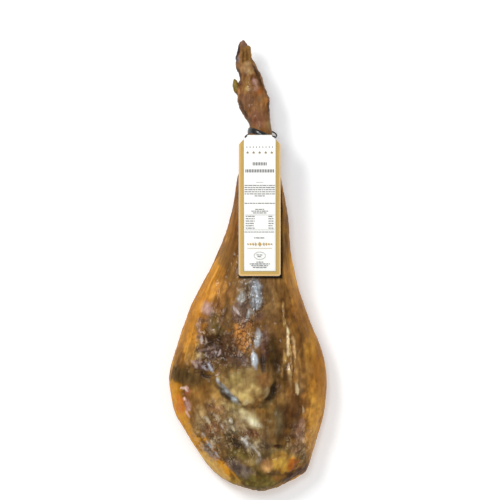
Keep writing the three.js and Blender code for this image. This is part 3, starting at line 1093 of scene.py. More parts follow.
    # Colours of the lean face, laid one over another: broad areas first.
    stains: tuple[Stain, ...] = (
        Stain(Line(((-46, 20), (-70, -50), (-94, -105), (-120, -170)), 24, 0.8), "c4822c", 0.9, 0.3),
        Stain(Line(((-28, 10), (-42, -50), (-58, -100), (-62, -135)), 17, 0.8), "85592c", 0.85, 0.35),
        Stain(Line(((8, 0), (6, -60), (0, -100)), 26, 0.8), "77654f", 0.8, 0.6),
        Stain(Line(((40, 0), (42, -70), (38, -125)), 17, 0.8), "8f6c40", 0.85, 0.35),
        Stain(Line(((62, 0), (70, -80), (80, -140), (86, -200)), 17, 0.8), "7a5326", 0.85, 0.3),
        Stain(Line(((84, -30), (100, -90), (118, -160), (128, -220), (128, -280), (108, -345)), 18, 0.8),
              "a86c22", 0.9, 0.3),
        Stain(Patch(-56, -150, 46, 38, soft=0.7), "4c3018", 0.95, 0.5),
        Stain(Patch(0, -140, 28, 40, soft=0.8), "6c4c2c", 0.85, 0.55),
        Stain(Patch(45, -165, 22, 58, soft=0.8), "4f351c", 0.9, 0.3),
        Stain(Patch(92, -150, 22, 70, soft=0.8), "946830", 0.7, 0.35),
        Stain(Patch(-6, -208, 50, 36, soft=0.6), "8a6c40", 0.9, 0.3),
        Stain(Patch(-88, -212, 50, 32, soft=0.8), "75572b", 0.9, 0.3),
        Stain(Patch(-90, -252, 34, 34, soft=0.8), "9c6c30", 0.9, 0.35),
        Stain(Patch(-40, -266, 50, 28, soft=0.8), "8e7044", 0.9, 0.45),
        Stain(Patch(54, -270, 24, 62, soft=0.8), "6a4c22", 0.9, 0.35),
        Stain(Patch(86, -262, 22, 54, soft=0.8), "6b461d", 0.9, 0.35),
        Stain(Line(((116, -200), (122, -260), (112, -316)), 17, 0.7), "c88c34", 0.85, 0.3),
        Stain(Patch(-50, -302, 50, 34, soft=0.8), "86643c", 0.9, 0.5),
        Stain(Patch(6, -316, 44, 28, soft=0.8), "7a5f3c", 0.9, 0.5),
        Stain(Patch(20, -344, 64, 24, soft=0.8), "806c40", 0.8, 0.4),
        Stain(Patch(10, -386, 60, 20, soft=0.8), "625224", 0.95, 0.3),
        Stain(Line(((-140, -190), (-127, -240), (-112, -270), (-98, -298), (-84, -322), (-65, -343),
                    (-48, -361), (-14, -396)), 14, 0.3, 0.15), "d08e24", 0.97, 0.3),
        Stain(Line(((-88, -334), (-68, -354), (-46, -374), (-26, -390)), 8, 0.6), "e0b464", 0.8, 0.3),
        # The upper left: golden fat and dark wrinkled lean, with painted highlights on its crests.
        Stain(Line(((-44, -24), (-54, -44), (-52, -58)), 10), "dc9a44", 0.75, 0.5),
        Stain(Line(((-66, -30), (-78, -62), (-88, -88)), 10), "d08c34", 0.7, 0.3),
        Stain(Line(((-92, -100), (-104, -140), (-112, -168)), 10), "dc9836", 0.7, 0.3),
        Stain(Line(((-34, 60), (-26, 0), (-28, -50)), 13, 0.7), "7c5629", 0.9, 0.35),
        Stain(Line(((-38, -54), (-36, -86), (-42, -118)), 8), "6a4c26", 0.8, 0.4),
        Stain(Patch(-54, -120, 14, 14), "6f5b2a", 0.6, 0.3),
        Stain(Patch(-72, -78, 9, 13, soft=0.6), "bf9c94", 0.8, 0.8),
        # Painted highlights along three upright crests.
        Stain(Line(((-82, -94), (-88, -116), (-92, -136)), 3.6), "94705c", 0.7, 0.85),
        Stain(Line(((-66, -84), (-66, -104), (-70, -124)), 2.6), "9c7c64", 0.6, 0.85),
        Stain(Line(((-48, -92), (-50, -112)), 3.0), "9c7c60", 0.6, 0.8),
        Stain(Line(((-92, -128), (-74, -136), (-54, -132), (-38, -142)), 6.0), "4a3018", 0.85, 0.4),
        Stain(Line(((-96, -150), (-80, -160), (-62, -156), (-44, -150)), 7.0), "5a3c34", 0.6, 0.7),
        # A painted glint along the ridge.
        Stain(Line(((-84, -152), (-72, -148), (-50, -146)), 2.2), "a48c80", 0.6, 0.95),
        Stain(Patch(-86, -162, 9, 6), "b89c64", 0.8, 0.6),
        Stain(Patch(-62, -104, 8, 16), "6f5a2a", 0.6, 0.4),
        # A painted glint.
        Stain(Patch(-94, -178, 6, 5), "a47c84", 0.7, 0.9),
        Stain(Line(((-98, -176), (-84, -182), (-70, -180), (-56, -186)), 6.5), "664a48", 0.7, 0.8),
        # A painted glint along the crest.
        Stain(Line(((-84, -180), (-74, -186), (-64, -184)), 2.6), "b6a8a8", 0.75, 0.95),
        Stain(Line(((-96, -192), (-74, -198), (-54, -196)), 5.0), "3f2918", 0.8, 0.4),
        Stain(Line(((-44, -150), (-34, -164), (-44, -178)), 7.0), "573a24", 0.8, 0.4),
        Stain(Patch(-36, -136, 9, 16), "5b3a1c", 0.8, 0.4),
        Stain(Line(((-50, 60), (-48, 20), (-40, -10)), 10, 0.7), "74502a", 0.8, 0.35),
        Stain(Patch(-30, -142, 11, 24, soft=0.7), "50351c", 0.85, 0.4),
        Stain(Patch(-12, -170, 14, 14, soft=0.7), "5a4230", 0.85, 0.5),
        # The crackled centre and the wet crests, with painted highlights and painted reflections.
        Stain(Patch(-9, -122, 17, 33), "a46a30", 0.9, 0.6),
        Stain(Patch(-16, -112, 9, 12), "b87630", 0.7, 0.5),
        Stain(Patch(-12, -84, 17, 24), "735848", 0.8, 0.7),
        # Pale bluish silverskin below the label, its whiteness partly a painted reflection of the soft
        # lights.
        Stain(Line(((10, -24), (13, -46), (15, -62), (10, -78)), 9.5), "a4acb4", 0.9, 1.0),
        Stain(Line(((15, -30), (16, -64)), 6.0), "ccd8e4", 0.85, 1.0),
        Stain(Line(((-13, -46), (-12, -70)), 6.0), "a8a49c", 0.85, 0.95),
        Stain(Line(((4, -76), (8, -88)), 5.0), "9c9690", 0.7, 0.95),
        Stain(Patch(22, -92, 10, 9), "5f3f38", 0.7, 0.6),
        # Painted highlights along the two bright crests.
        Stain(Line(((18, -112), (19, -130), (14, -148)), 5.2), "bcbcbc", 0.9, 1.0),
        Stain(Line(((8, -150), (10, -167), (13, -184)), 4.6), "bcc4cc", 0.95, 1.0),
        Stain(Line(((-18, -152), (-12, -166), (-2, -176)), 4.5), "7c6e74", 0.7, 0.9),
        Stain(Line(((2, -158), (0, -172), (4, -184)), 3.4), "3d281c", 0.8, 0.5),
        Stain(Line(((28, -112), (32, -140), (28, -172)), 7.0), "65443a", 0.8, 0.7),
        Stain(Line(((40, -120), (43, -145), (46, -170), (50, -192)), 10, 0.8), "46300f", 0.8, 0.3),
        Stain(Line(((46, -146), (48, -168), (50, -192)), 7, 0.8), "38240c", 0.8, 0.3),
        # Pale nets painted as glints on the rough meat.
        Stain(Patch(28, -130, 14, 30), "a98a6c", 0.6, 0.9, net=6.0),
        Stain(Patch(-9, -122, 18, 36), "e0c898", 0.85, 1.0, net=6.0),
        Stain(Patch(-30, -146, 8, 20, soft=0.6), "4c301a", 0.85, 0.4),
        Stain(Patch(-14, -174, 14, 12, soft=0.6), "543a24", 0.8, 0.5),
        Stain(Patch(6, -66, 22, 30), "3b2c22", 0.8, 0.6, net=10.0),
        # Pale nets painted as glints on the lumpy lean.
        Stain(Patch(-66, -118, 30, 26), "b89878", 0.55, 0.95, net=9.0),
        Stain(Patch(-72, -168, 34, 28), "cdb8b0", 0.65, 1.0, net=8.0),
        Stain(Line(((32, -36), (36, -70)), 6), "7a5a34", 0.6, 0.4),
        Stain(Line(((23, -156), (24, -176), (28, -196)), 5.5, 0.6), "35241a", 0.85, 0.5),
        # The long ridges and streaks of the right side, with painted highlights along the ridges.
        # Painted highlights along the ridges' crests.
        Stain(Line(((60, -64), (64, -90), (66, -112)), 2.4), "b8904c", 0.85, 0.8),
        Stain(Line(((70, -108), (72, -134), (71, -164)), 2.5, 0.5, 0.8), "e8cc98", 0.95, 0.95),
        Stain(Line(((80, -124), (84, -148), (86, -178)), 2.3, 0.5, 0.8), "dcb478", 0.9, 0.9),
        Stain(Line(((76, -140), (78, -166), (80, -196)), 1.8, 0.5, 0.8), "c49a5c", 0.8, 0.9),
        Stain(Line(((72, -176), (76, -198), (76, -222)), 3.0), "d8b478", 0.85, 0.9),
        Stain(Line(((64, -150), (65, -176), (62, -204)), 2.6), "b8924e", 0.8, 0.8),
        Stain(Line(((94, -150), (96, -176), (98, -200)), 3.0), "c8964a", 0.7, 0.7),
        Stain(Line(((66, -170), (68, -190), (66, -214)), 5.0), "5a3c1a", 0.7, 0.3),
        Stain(Patch(59, -236, 8, 13, soft=0.7), "9a733c", 0.8, 0.4),
        # A painted highlight beside the ridges.
        Stain(Patch(93, -216, 5, 12, soft=0.7), "b08c5c", 0.75, 0.7),
        Stain(Line(((100, -120), (108, -164), (110, -206)), 5), "b58440", 0.6, 0.4),
        Stain(Line(((92, -90), (98, -130), (100, -170)), 5), "82592a", 0.6, 0.3),
        Stain(Line(((74, -196), (78, -226), (80, -250)), 7), "8d6634", 0.6, 0.4),
        Stain(Line(((102, -226), (100, -256), (104, -282)), 5), "8f5f2a", 0.7, 0.4),
        Stain(Line(((62, -252), (72, -262), (92, -262)), 9), "593718", 0.85, 0.35),
        Stain(Line(((84, -268), (80, -300)), 9), "60401c", 0.75, 0.4),
        Stain(Line(((116, -228), (119, -262), (114, -300), (108, -334)), 11, 0.6), "dca044", 0.85, 0.35),
        Stain(Patch(95, -196, 11, 20, soft=0.7), "ac7e42", 0.75, 0.4),
        Stain(Patch(113, -144, 9, 26, soft=0.7), "c08830", 0.75, 0.35),
        Stain(Patch(96, -304, 10, 12, soft=0.7), "7c5428", 0.6, 0.5),
        Stain(Patch(77, -233, 9, 18, soft=0.7), "a06e34", 0.75, 0.4),
        Stain(Patch(41, -108, 10, 18, soft=0.7), "664422", 0.75, 0.35),
        Stain(Line(((52, -250), (54, -280), (50, -308)), 8), "7a6c4a", 0.6, 0.5),
        Stain(Line(((40, -246), (38, -276), (44, -300)), 5), "775a2e", 0.6, 0.4),
        Stain(Patch(92, -300, 14, 20), "8a6246", 0.75, 0.75),
        Stain(Patch(96, -282, 6, 10), "a8765a", 0.6, 0.8),
        Stain(Patch(86, -326, 14, 14), "765637", 0.7, 0.6),
        Stain(Line(((66, 10), (80, -50), (96, -105)), 9, 0.7), "b8803a", 0.8, 0.35),
        Stain(Patch(114, -318, 10, 22, soft=0.7), "c8924a", 0.8, 0.4),
        # The tongue and the creases under it, with a painted highlight on its tip, painted shadow in the
        # creases and painted sheen on the left slope.
        Stain(Patch(-8, -214, 36, 26), "a68a54", 0.85, 0.3),
        Stain(Patch(-24, -200, 16, 14), "87703c", 0.6, 0.25),
        Stain(Patch(6, -196, 15, 8, soft=0.7), "82643a", 0.75, 0.3),
        Stain(Patch(26, -206, 12, 14), "84562c", 0.8, 0.35),
        Stain(Patch(-5, -238, 11, 9), "ac8e54", 0.8, 0.4),
        # A painted highlight on the tongue's tip.
        Stain(Patch(-3, -245, 5, 4), "c8b080", 0.6, 0.7),
        # Painted shadow in the crease under the tongue's right side.
        Stain(Line(((48, -206), (44, -222), (38, -238), (30, -248)), 5.6), "2c2014", 0.85, 0.25),
        Stain(Line(((34, -214), (34, -230), (26, -244)), 3.0), "8d7a58", 0.5, 0.5),
        # Painted shadow in the crease under the tongue's left side.
        Stain(Line(((-60, -214), (-44, -229), (-28, -246), (-12, -258)), 3.6), "32261a", 0.85, 0.3),
        # Painted sheen and highlights on the slope between the tongue and that crease.
        Stain(Line(((-58, -206), (-42, -219), (-28, -235), (-14, -252)), 4.6), "8f9090", 0.9, 1.0),
        Stain(Line(((-56, -204), (-48, -211)), 2.6), "c0c4c8", 0.85, 1.0),
        Stain(Line(((-30, -233), (-20, -244)), 2.6), "b4b8bc", 0.8, 1.0),
        Stain(Line(((-62, -198), (-44, -200), (-28, -208)), 5.0), "7d6034", 0.5, 0.3),
        Stain(Line(((-60, -188), (-30, -184), (4, -190)), 6.0), "5d4422", 0.7, 0.3),
        Stain(Line(((16, -256), (34, -252), (46, -240)), 4.0), "6b5a34", 0.6, 0.3),
        # Below the tongue.
        Stain(Line(((-50, -246), (-20, -264), (2, -277), (30, -296)), 12, 0.9, 0.2), "a48c58", 0.9, 0.45),
        Stain(Line(((-28, -262), (0, -273), (26, -290)), 8, 0.9, 0.2), "cdbb8c", 0.9, 0.4),
        Stain(Line(((-4, -272), (8, -278), (22, -288)), 4, 0.9, 0.2), "e2d8b6", 0.7, 0.4),
        Stain(Patch(2, -298, 15, 9), "6b3c1f", 0.9, 0.45),
        Stain(Patch(-26, -296, 12, 8, soft=0.7), "847a58", 0.6, 0.8),
        Stain(Patch(-38, -286, 8, 10, soft=0.7), "988c70", 0.6, 0.9),
        Stain(Patch(-12, -288, 10, 9, soft=0.7), "ac9266", 0.7, 0.5),
        Stain(Patch(-66, -324, 9, 8, soft=0.7), "a48c6e", 0.7, 0.85),
        Stain(Patch(-104, -160, 9, 16, soft=0.7), "c08e42", 0.75, 0.35),
        Stain(Patch(-60, -258, 16, 9), "9a6a40", 0.6, 0.6),
        Stain(Patch(-60, -292, 20, 12), "8a5c38", 0.6, 0.6),
        Stain(Line(((-44, -300), (-28, -314), (-8, -334)), 9), "46341a", 0.85, 0.4),
        # A painted glint.
        Stain(Line(((-14, -312), (2, -322), (14, -332)), 4.5), "a1988c", 0.8, 0.95),
        Stain(Patch(-16, -336, 20, 8, -10), "7c6a2c", 0.6, 0.4),
        Stain(Patch(24, -324, 14, 10), "7e684c", 0.6, 0.5),
        # Painted glints.
        Stain(Patch(5, -325, 11, 8, soft=0.7), "a49070", 0.7, 0.9),
        Stain(Line(((12, -334), (18, -346), (20, -358)), 5.0), "94826c", 0.75, 0.85),
        Stain(Line(((44, -329), (54, -326), (64, -331)), 4.0), "341509", 0.92, 0.3),
        Stain(Line(((34, -332), (40, -318)), 4.0), "6e5236", 0.6, 0.5),
        # Pale nets painted as glints on the lumpy meat.
        Stain(Patch(-56, -288, 42, 36, 25), "d8c4a0", 0.75, 1.0, net=9.0),
        Stain(Patch(-4, -320, 40, 24), "b8a88c", 0.6, 1.0, net=9.0),
        Stain(Patch(-64, -330, 32, 12, -42), "cfc6bc", 0.8, 1.0, net=6.0),
        Stain(Patch(92, -316, 22, 34), "cc9c70", 0.7, 1.0, net=8.0),
        # The butt end.
        Stain(Line(((-78, -318), (-66, -334), (-50, -348)), 6.0), "8b8078", 0.8, 0.9),
        Stain(Line(((-50, -344), (-30, -356), (-4, -366), (14, -370)), 8.0), "6d5a50", 0.85, 0.7),
        Stain(Line(((-22, -366), (0, -378)), 6.0), "7f6f60", 0.6, 0.6),
        Stain(Patch(60, -354, 22, 14), "b4822c", 0.9, 0.45),
        Stain(Patch(56, -352, 12, 8), "cca044", 0.8, 0.5),
        Stain(Patch(80, -356, 9, 10), "b4601a", 0.85, 0.5),
        Stain(Patch(33, -356, 8, 11), "c49058", 0.8, 0.6),
        Stain(Patch(45, -366, 6, 8), "86642c", 0.7, 0.4),
        Stain(Line(((98, -318), (98, -336), (96, -352)), 6), "7d6440", 0.7, 0.6),
        Stain(Line(((112, -350), (100, -368), (80, -380), (60, -392)), 6), "4d342a", 0.85, 0.35),
        Stain(Line(((76, -368), (58, -378), (34, -378)), 5), "8b5b26", 0.6, 0.4),
        Stain(Patch(30, -384, 16, 10), "73612c", 0.7, 0.35),
        Stain(Patch(-22, -388, 14, 8), "93773a", 0.6, 0.35),
        # The left rim.
        Stain(Patch(-120, -198, 26, 13), "584222", 0.9, 0.25),
        Stain(Patch(-98, -206, 16, 10), "5e4626", 0.7, 0.3),
        Stain(Line(((-112, -222), (-104, -232)), 7.0), "c06c44", 0.85, 0.7),
        # Painted highlights on the pink curl.
        Stain(Line(((-116, -218), (-106, -222)), 3.4), "e8b4a0", 0.9, 0.95),
        Stain(Patch(-104, -252, 6, 9, soft=0.6), "d8a898", 0.85, 0.95),
        Stain(Patch(-118, -250, 9, 16), "cc7418", 0.85, 0.5),
        Stain(Line(((-100, -264), (-91, -290), (-78, -316), (-56, -342)), 2.0), "6b4820", 0.8, 0.3),
        Stain(Line(((-34, -366), (-24, -386)), 3.0), "6b4c22", 0.7, 0.3),
        Stain(Patch(-84, -278, 11, 19, soft=0.7), "b49460", 0.85, 0.7),
        Stain(Line(((-80, -284), (-70, -304)), 5.0), "8a6440", 0.6, 0.6),
    )

    # Painted highlights: short, bright glint strokes, also made wet.
    painted_glints: tuple[Stain, ...] = (
        Stain(Line(((-83, -124), (-86, -132), (-84, -141)), 2.0), "c8b4a8", 0.9, 1.0),
        Stain(Line(((-76, -130), (-78, -141)), 1.6), "a88c78", 0.8, 1.0),
        Stain(Line(((-49, -150), (-52, -158), (-56, -164)), 2.0), "c8b0a8", 0.9, 1.0),
        Stain(Line(((-62, -152), (-57, -158)), 1.6), "b49888", 0.8, 1.0),
        Stain(Line(((-73, -174), (-66, -182), (-60, -190)), 2.4), "c8ccd4", 0.95, 1.0),
        Stain(Line(((-80, -180), (-74, -188)), 1.8), "b4aeb4", 0.85, 1.0),
        Stain(Line(((-98, -172), (-95, -178), (-93, -185)), 2.0), "c8a88c", 0.85, 1.0),
        Stain(Line(((-18, -304), (-9, -312), (-1, -323)), 2.2), "d8d4c8", 0.95, 1.0),
        Stain(Line(((-8, -302), (2, -310)), 1.7), "b8b0a0", 0.85, 1.0),
        Stain(Line(((3, -318), (11, -328), (19, -343)), 2.2), "d0c4b0", 0.9, 1.0),
        Stain(Line(((12, -318), (18, -327)), 1.6), "b8a890", 0.85, 1.0),
        Stain(Line(((-74, -313), (-69, -320), (-63, -327)), 2.3), "c4c8cc", 0.95, 1.0),
        Stain(Line(((-82, -300), (-76, -310)), 1.8), "b8b0a8", 0.85, 1.0),
        Stain(Line(((-62, -331), (-55, -337), (-47, -343)), 2.2), "bcb6b8", 0.9, 1.0),
        Stain(Line(((-78, -272), (-71, -279), (-64, -288)), 2.0), "c8b898", 0.85, 1.0),
        Stain(Line(((-58, -268), (-52, -277)), 1.8), "c0a888", 0.8, 1.0),
        Stain(Line(((-50, -283), (-44, -294)), 1.8), "c4b49c", 0.85, 1.0),
        Stain(Line(((-111, -259), (-105, -264), (-99, -272)), 2.4), "e0b09c", 0.9, 1.0),
        Stain(Line(((-122, -219), (-114, -221), (-105, -226)), 2.2), "e8c8b8", 0.9, 1.0),
        Stain(Line(((-113, -236), (-107, -244)), 2.2), "dca08c", 0.85, 1.0),
        Stain(Line(((87, -208), (90, -220), (90, -234)), 2.0, 0.5, 0.8), "d8c090", 0.85, 1.0),
        Stain(Line(((96, -252), (98, -264)), 1.8), "c8a878", 0.8, 1.0),
        Stain(Line(((-25, -74), (-20, -82), (-15, -90)), 2.2), "c8b8b4", 0.85, 1.0),
        Stain(Line(((2, -78), (0, -86), (-3, -97)), 2.4), "d0d0cc", 0.9, 1.0),
        Stain(Line(((-34, -272), (-31, -278), (-28, -285)), 2.2), "c8c0a8", 0.85, 1.0),
        Stain(Line(((84, -300), (90, -309)), 1.8), "c49c7c", 0.8, 1.0),
        Stain(Line(((98, -306), (101, -318)), 1.8), "c8a484", 0.8, 1.0),
        Stain(Line(((-56, -198), (-49, -206)), 1.8), "c8c4b8", 0.85, 1.0),
        Stain(Line(((-40, -220), (-32, -229)), 2.0), "c0c4c4", 0.85, 1.0),
    )

    # Colours of the trotter, its claws and its spots, with painted highlights on the claw and the knuckles.
    foot_stains: tuple[Stain, ...] = (
        Stain(Patch(0, 376, 14, 20), "85602f", 0.8, 0.25),
        Stain(Patch(-7, 398, 9, 8), "77584a", 0.85, 0.3),
        Stain(Line(((-9, 386), (-9, 362)), 1.8), "4a2c12", 0.8, 0.2),
        Stain(Line(((-3, 388), (-2, 362)), 1.6), "4e3014", 0.7, 0.2),
        Stain(Line(((-17, 402), (-21, 380), (-23, 360)), 3.6), "241a1e", 0.95, 0.45),
        # A painted highlight on the dark claw.
        Stain(Line(((-17, 376), (-16, 362)), 1.8), "8b7470", 0.85, 0.6),
        Stain(Patch(0, 352, 13, 10), "a07a50", 0.7, 0.35),
        # Painted highlights on the knuckles.
        Stain(Patch(0, 361, 5, 3, soft=0.9), "b89468", 0.7, 0.5),
        Stain(Patch(4, 347, 5, 4, soft=0.9), "b08e5c", 0.7, 0.5),
        Stain(Line(((8, 362), (17, 342), (26, 318), (32, 300)), 2.6), "3c2614", 0.85, 0.2),
        # Painted highlights lower on the right side.
        Stain(Line(((9, 336), (15, 321)), 3.6, 0.9), "c09488", 0.85, 0.7),
        Stain(Patch(16, 317, 3, 4, soft=0.9), "c49c88", 0.7, 0.8),
        Stain(Patch(-3, 322, 5, 12, soft=0.9), "94703a", 0.7, 0.4),
        Stain(Patch(-2, 317, 3, 3, soft=0.9), "b8965a", 0.7, 0.6),
        Stain(Line(((-24, 338), (-22, 308)), 5.0), "7f6c30", 0.9, 0.3),
        Stain(Line(((-17, 318), (-16, 304)), 2.4), "b47c4a", 0.8, 0.3),
        Stain(Patch(-13, 324, 3, 5, soft=0.7), "683626", 0.7, 0.3),
        Stain(Line(((24, 318), (30, 300), (34, 280)), 6.0), "a0662f", 0.75, 0.3),
        Stain(Patch(22, 311, 6, 7, soft=0.9), "9c5a26", 0.7, 0.4),
        Stain(Patch(23, 299, 5, 6, soft=0.9), "94724c", 0.7, 0.5),
        Stain(Patch(-4, 292, 14, 14), "74503a", 0.7, 0.25),
        Stain(Patch(16, 262, 16, 14), "84583e", 0.8, 0.3),
        Stain(Patch(11, 257, 4, 7, soft=0.9), "74402a", 0.6, 0.3),
        Stain(Line(((0, 266), (6, 248)), 4.0), "5f4c38", 0.7, 0.2),
        Stain(Line(((38, 262), (41, 240)), 5.0), "98794c", 0.8, 0.3),
        Stain(Line(((38, 298), (40, 270)), 3.0), "34231a", 0.85, 0.2),
        Stain(Line(((-18, 300), (-10, 280), (0, 262)), 3.0), "4a3422", 0.8, 0.2),
        Stain(Line(((-22, 358), (-16, 344), (-13, 332)), 2.6), "3c2818", 0.8, 0.2),
    )

    # Smooth fat, where streaks are faint.
    calm: tuple[Line, ...] = (
        Line(((-144, -170), (-129, -240), (-115, -275), (-101, -300), (-86, -324), (-67, -346),
              (-50, -364), (-14, -398)), 14, 0.4, 0.15),
        Line(((-66, 0), (-90, -60), (-112, -110), (-134, -170)), 16, 0.6, 0.2),
        Line(((90, -20), (112, -90), (130, -160), (136, -230), (130, -290), (112, -350)), 15, 0.6, 0.2),
    )

    def build(self) -> bpy.types.Object:
        """Make the leg's fine mesh, carve it and paint it.

        Returns:
            The finished piece.
        """
        made = merged_copy(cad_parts["ham"], "ham_leg")
        remesh = made.modifiers.new("even", "REMESH")
        remesh.mode = "VOXEL"
        remesh.voxel_size = self.voxel
        baked(made)
        self.ease_facets(made)
        surface = Surface(self.places(made), self.normals(made))
        self.carve(made, surface)
        self.paint(made, surface)
        made.data.shade_smooth()
        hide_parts("ham")
        return mounted(made, self.meat.make())

    def ease_facets(self, made: bpy.types.Object) -> None:
        """Round off the CAD solid's flat facets, gently on the small foot.

        Args:
            made: the leg.
        """
        places = self.places(made)
        group = made.vertex_groups.new(name="ease")
        weight = 0.06 + 0.94 * smoothstep(self.ankle_y + 70, self.ankle_y - 20, places[:, 1])
        for level in np.unique(np.round(weight, 2)):
            chosen = np.nonzero(np.round(weight, 2) == level)[0].tolist()
            group.add(chosen, float(level), "REPLACE")
        ease = made.modifiers.new("ease", "SMOOTH")
        ease.factor = 0.6
        ease.iterations = self.facet_smoothing
        ease.vertex_group = "ease"
        baked(made)
        made.vertex_groups.clear()

    @staticmethod
    def places(made: bpy.types.Object) -> Array:
        """Read the mesh's points.

        Args:
            made: the leg.

        Returns:
            The points, in millimetres.
        """
        flat = np.zeros(len(made.data.vertices) * 3)
        made.data.vertices.foreach_get("co", flat)
        return flat.reshape(-1, 3) / MM

    @staticmethod
    def normals(made: bpy.types.Object) -> Array:
        """Read the mesh's outward directions.

        Args:
            made: the leg.

        Returns:
            One direction per point.
        """
        flat = np.zeros(len(made.data.vertices) * 3)
        made.data.vertices.foreach_get("normal", flat)
        return flat.reshape(-1, 3)

    @staticmethod
    def beyond_card(p: Array) -> tuple[Array, Array, Array, Array]:
        """Measure how far each point lies beyond each side of the label's card.

        Args:
            p: the leg's points.

        Returns:
            The distances past its left, right, lower and upper sides, below 0 inside them.
        """
        low, high = (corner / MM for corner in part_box("label_card"))
        return low.x - p[:, 0], p[:, 0] - high.x, low.y - p[:, 1], p[:, 1] - high.y

    def carve(self, made: bpy.types.Object, surface: Surface) -> None:
        """Move the surface into its folds, ridges, lumps and wrinkles.

        Args:
            made: the leg.
            surface: its points and directions.
        """
        p = surface.p
        lift = sum(stroke.lift(surface) for stroke in self.strokes)
        lift += sum(relief.raised(surface, index) for index, relief in enumerate(self.reliefs))
        lift = self.hold_back(lift * surface.face + self.wrinkles(surface), p)
        p = p + surface.n * lift[:, None] + sum(bulge.offset(p) for bulge in self.bulges)
        p[:, 2] = np.maximum(p[:, 2], 0.0)
        made.data.vertices.foreach_set("co", (p * MM).ravel())
        made.data.update()

    def wrinkles(self, surface: Surface) -> Array:
        """Work out the fine wrinkles, furrows and swells of the whole leg.

        Args:
            surface: the leg's points and directions.

        Returns:
            The lift of each point.
        """
        y = surface.p[:, 1]
        thigh = smoothstep(-10, -90, y)
        shank = smoothstep(250, 200, y) * (1 - thigh)
        foot = smoothstep(self.ankle_y + 6, self.ankle_y + 26, y)
        lift = surface.along(4, 8.0, 60.0) * (0.9 * shank + 0.7 * thigh)
        lift -= thin_lines(surface.along(5, 11.0, 90.0, 2), 5) * (1.2 * shank + 0.8 * thigh)
        lift += surface.grain(6, 42.0, 2) * 2.2 * thigh * surface.face
        lift += surface.grain(7, 6.0, 2) * (0.3 + 0.25 * thigh * surface.face) * (1 - foot)
        return lift + self.foot_relief(surface) * foot

    @staticmethod
    def foot_relief(surface: Surface) -> Array:
        """Work out the trotter's leathery wrinkles and its blunt claws.

        Args:
            surface: the leg's points and directions.

        Returns:
            The lift of each point.
        """
        x, y = surface.p[:, 0], surface.p[:, 1]
        lift = 0.7 * surface.grain(8, (4.5, 26.0, 7.0), 2) + 0.9 * surface.grain(9, 11.0, 2)
        lift -= 1.2 * thin_lines(surface.grain(10, (16.0, 6.0, 16.0), 2), 4)
        # The blunt tip of the claws, the notch between them and the dewclaw's spur.
        lift += 2.2 * smoothstep(384, 396, y) + 2.0 * Patch(0, 392, 6, 9).weight(x, y, 0.0)
        lift += 1.6 * smoothstep(-14, -18, x) * smoothstep(345, 335, y) * smoothstep(305, 315, y)
        for groove in (Line(((-9, 384), (-9, 362)), 1.8), Line(((-3, 388), (-3, 362)), 1.8)):
            lift -= 1.4 * surface.face * groove.weight(x, y, 0.0)
        return lift

    def hold_back(self, lift: Array, p: Array) -> Array:
        """Keep the meat off the strap, the label and the ground.

        Args:
            lift: how far each point would rise.
            p: the leg's points.

        Returns:
            How far each point may rise.
        """
        left, right, below, above = self.beyond_card(p)
        beside, under, over = self.level_round_card
        near_card = (np.maximum(left, right) < beside) & (below < under) & (above < over)
        lift = np.where(near_card, np.minimum(lift, 0.0), lift)
        strap = np.exp(-(((p[:, 1] - self.ankle_y + 8) / 16.0) ** 2))
        lift = lift * (1 - strap) - self.groove_depth * strap
        return lift * (1 - smoothstep(6.0, 1.0, p[:, 2]))

    def paint(self, made: bpy.types.Object, surface: Surface) -> None:
        """Store the colour, the wetness and the roughness of each point on the mesh.

        Args:
            made: the leg.
            surface: its points and directions, as they were before carving.
        """
        upward = smoothstep(-0.1, 0.3, surface.n[:, 2])
        coat = self.base_coat(surface)
        for stain in self.stains:
            coat.lay(stain, stain.weight(surface) * upward)
        self.paint_streaks(surface, coat)
        self.paint_shank(surface, coat)
        self.paint_foot(surface, coat)
        busy, cracked = self.rough_areas(surface)
        busy, cracked = busy * upward, cracked * upward
        coat.shade(-0.5 * surface.veins(11.0, 6.0) * busy - 0.25 * surface.veins(7.0, 6.0) * busy)
        # Lay the painted highlights over the shaded coat.
        for painted_glint in self.painted_glints:
            coat.lay(painted_glint, painted_glint.weight(surface) * upward)
        # Painted shadow of the label's card: the meat under it and just beside it is darkened and dried.
        card_shadow = self.card_shadow_weight(surface)
        coat.cover(np.array(linear(self.card_shadow_colour)), card_shadow)
        coat.moisten(0.0, card_shadow)
        self.store(made, "busy", busy)
        self.store(made, "cracked", cracked)
        self.store(made, "paint", np.clip(coat.colour, 0.002, 0.95))
        self.store(made, "wet", np.clip(coat.wet + 0.1 * surface.ragged, 0.0, 1.0) ** 1.8)

    def base_coat(self, surface: Surface) -> Coat:
        """Colour the skin of the sides and the lean of the face.

        Args:
            surface: the leg's points and directions.

        Returns:
            The coat.
        """
        skin = self.blend_colours(surface.grain(14, 30.0), "9a6620", "cc8f30")
        lean = self.blend_colours(surface.grain(15, 22.0), "684218", "946626")
        flatness = smoothstep(0.2, 0.75, surface.n[:, 2])[:, None]
        return Coat(skin * (1 - flatness) + lean * flatness, 0.1 + 0.3 * surface.face)

    def paint_streaks(self, surface: Surface, coat: Coat) -> None:
        """Streak the meat along its fibres and mottle the thigh, faintly on smooth fat.

        Args:
            surface: the leg's points.
            coat: the coat so far.
        """
        x, y = surface.p[:, 0], surface.p[:, 1]
        calm = sum(line.weight(x, y, surface.ragged) for line in self.calm)
        streaks = 1.0 - 0.7 * np.clip(calm, 0.0, 1.0)
        coat.shade(0.4 * streaks * surface.along(16, 14.0, 120.0, 2))
        light_lines = thin_lines(surface.along(24, 9.0, 90.0, 2), 7)
        dark_lines = thin_lines(surface.along(25, 10.0, 100.0, 2), 7)
        coat.shade(streaks * (0.3 * light_lines - 0.5 * dark_lines))
        coat.shade(0.42 * streaks * surface.grain(17, 9.0, 2) * smoothstep(0, -70, y))

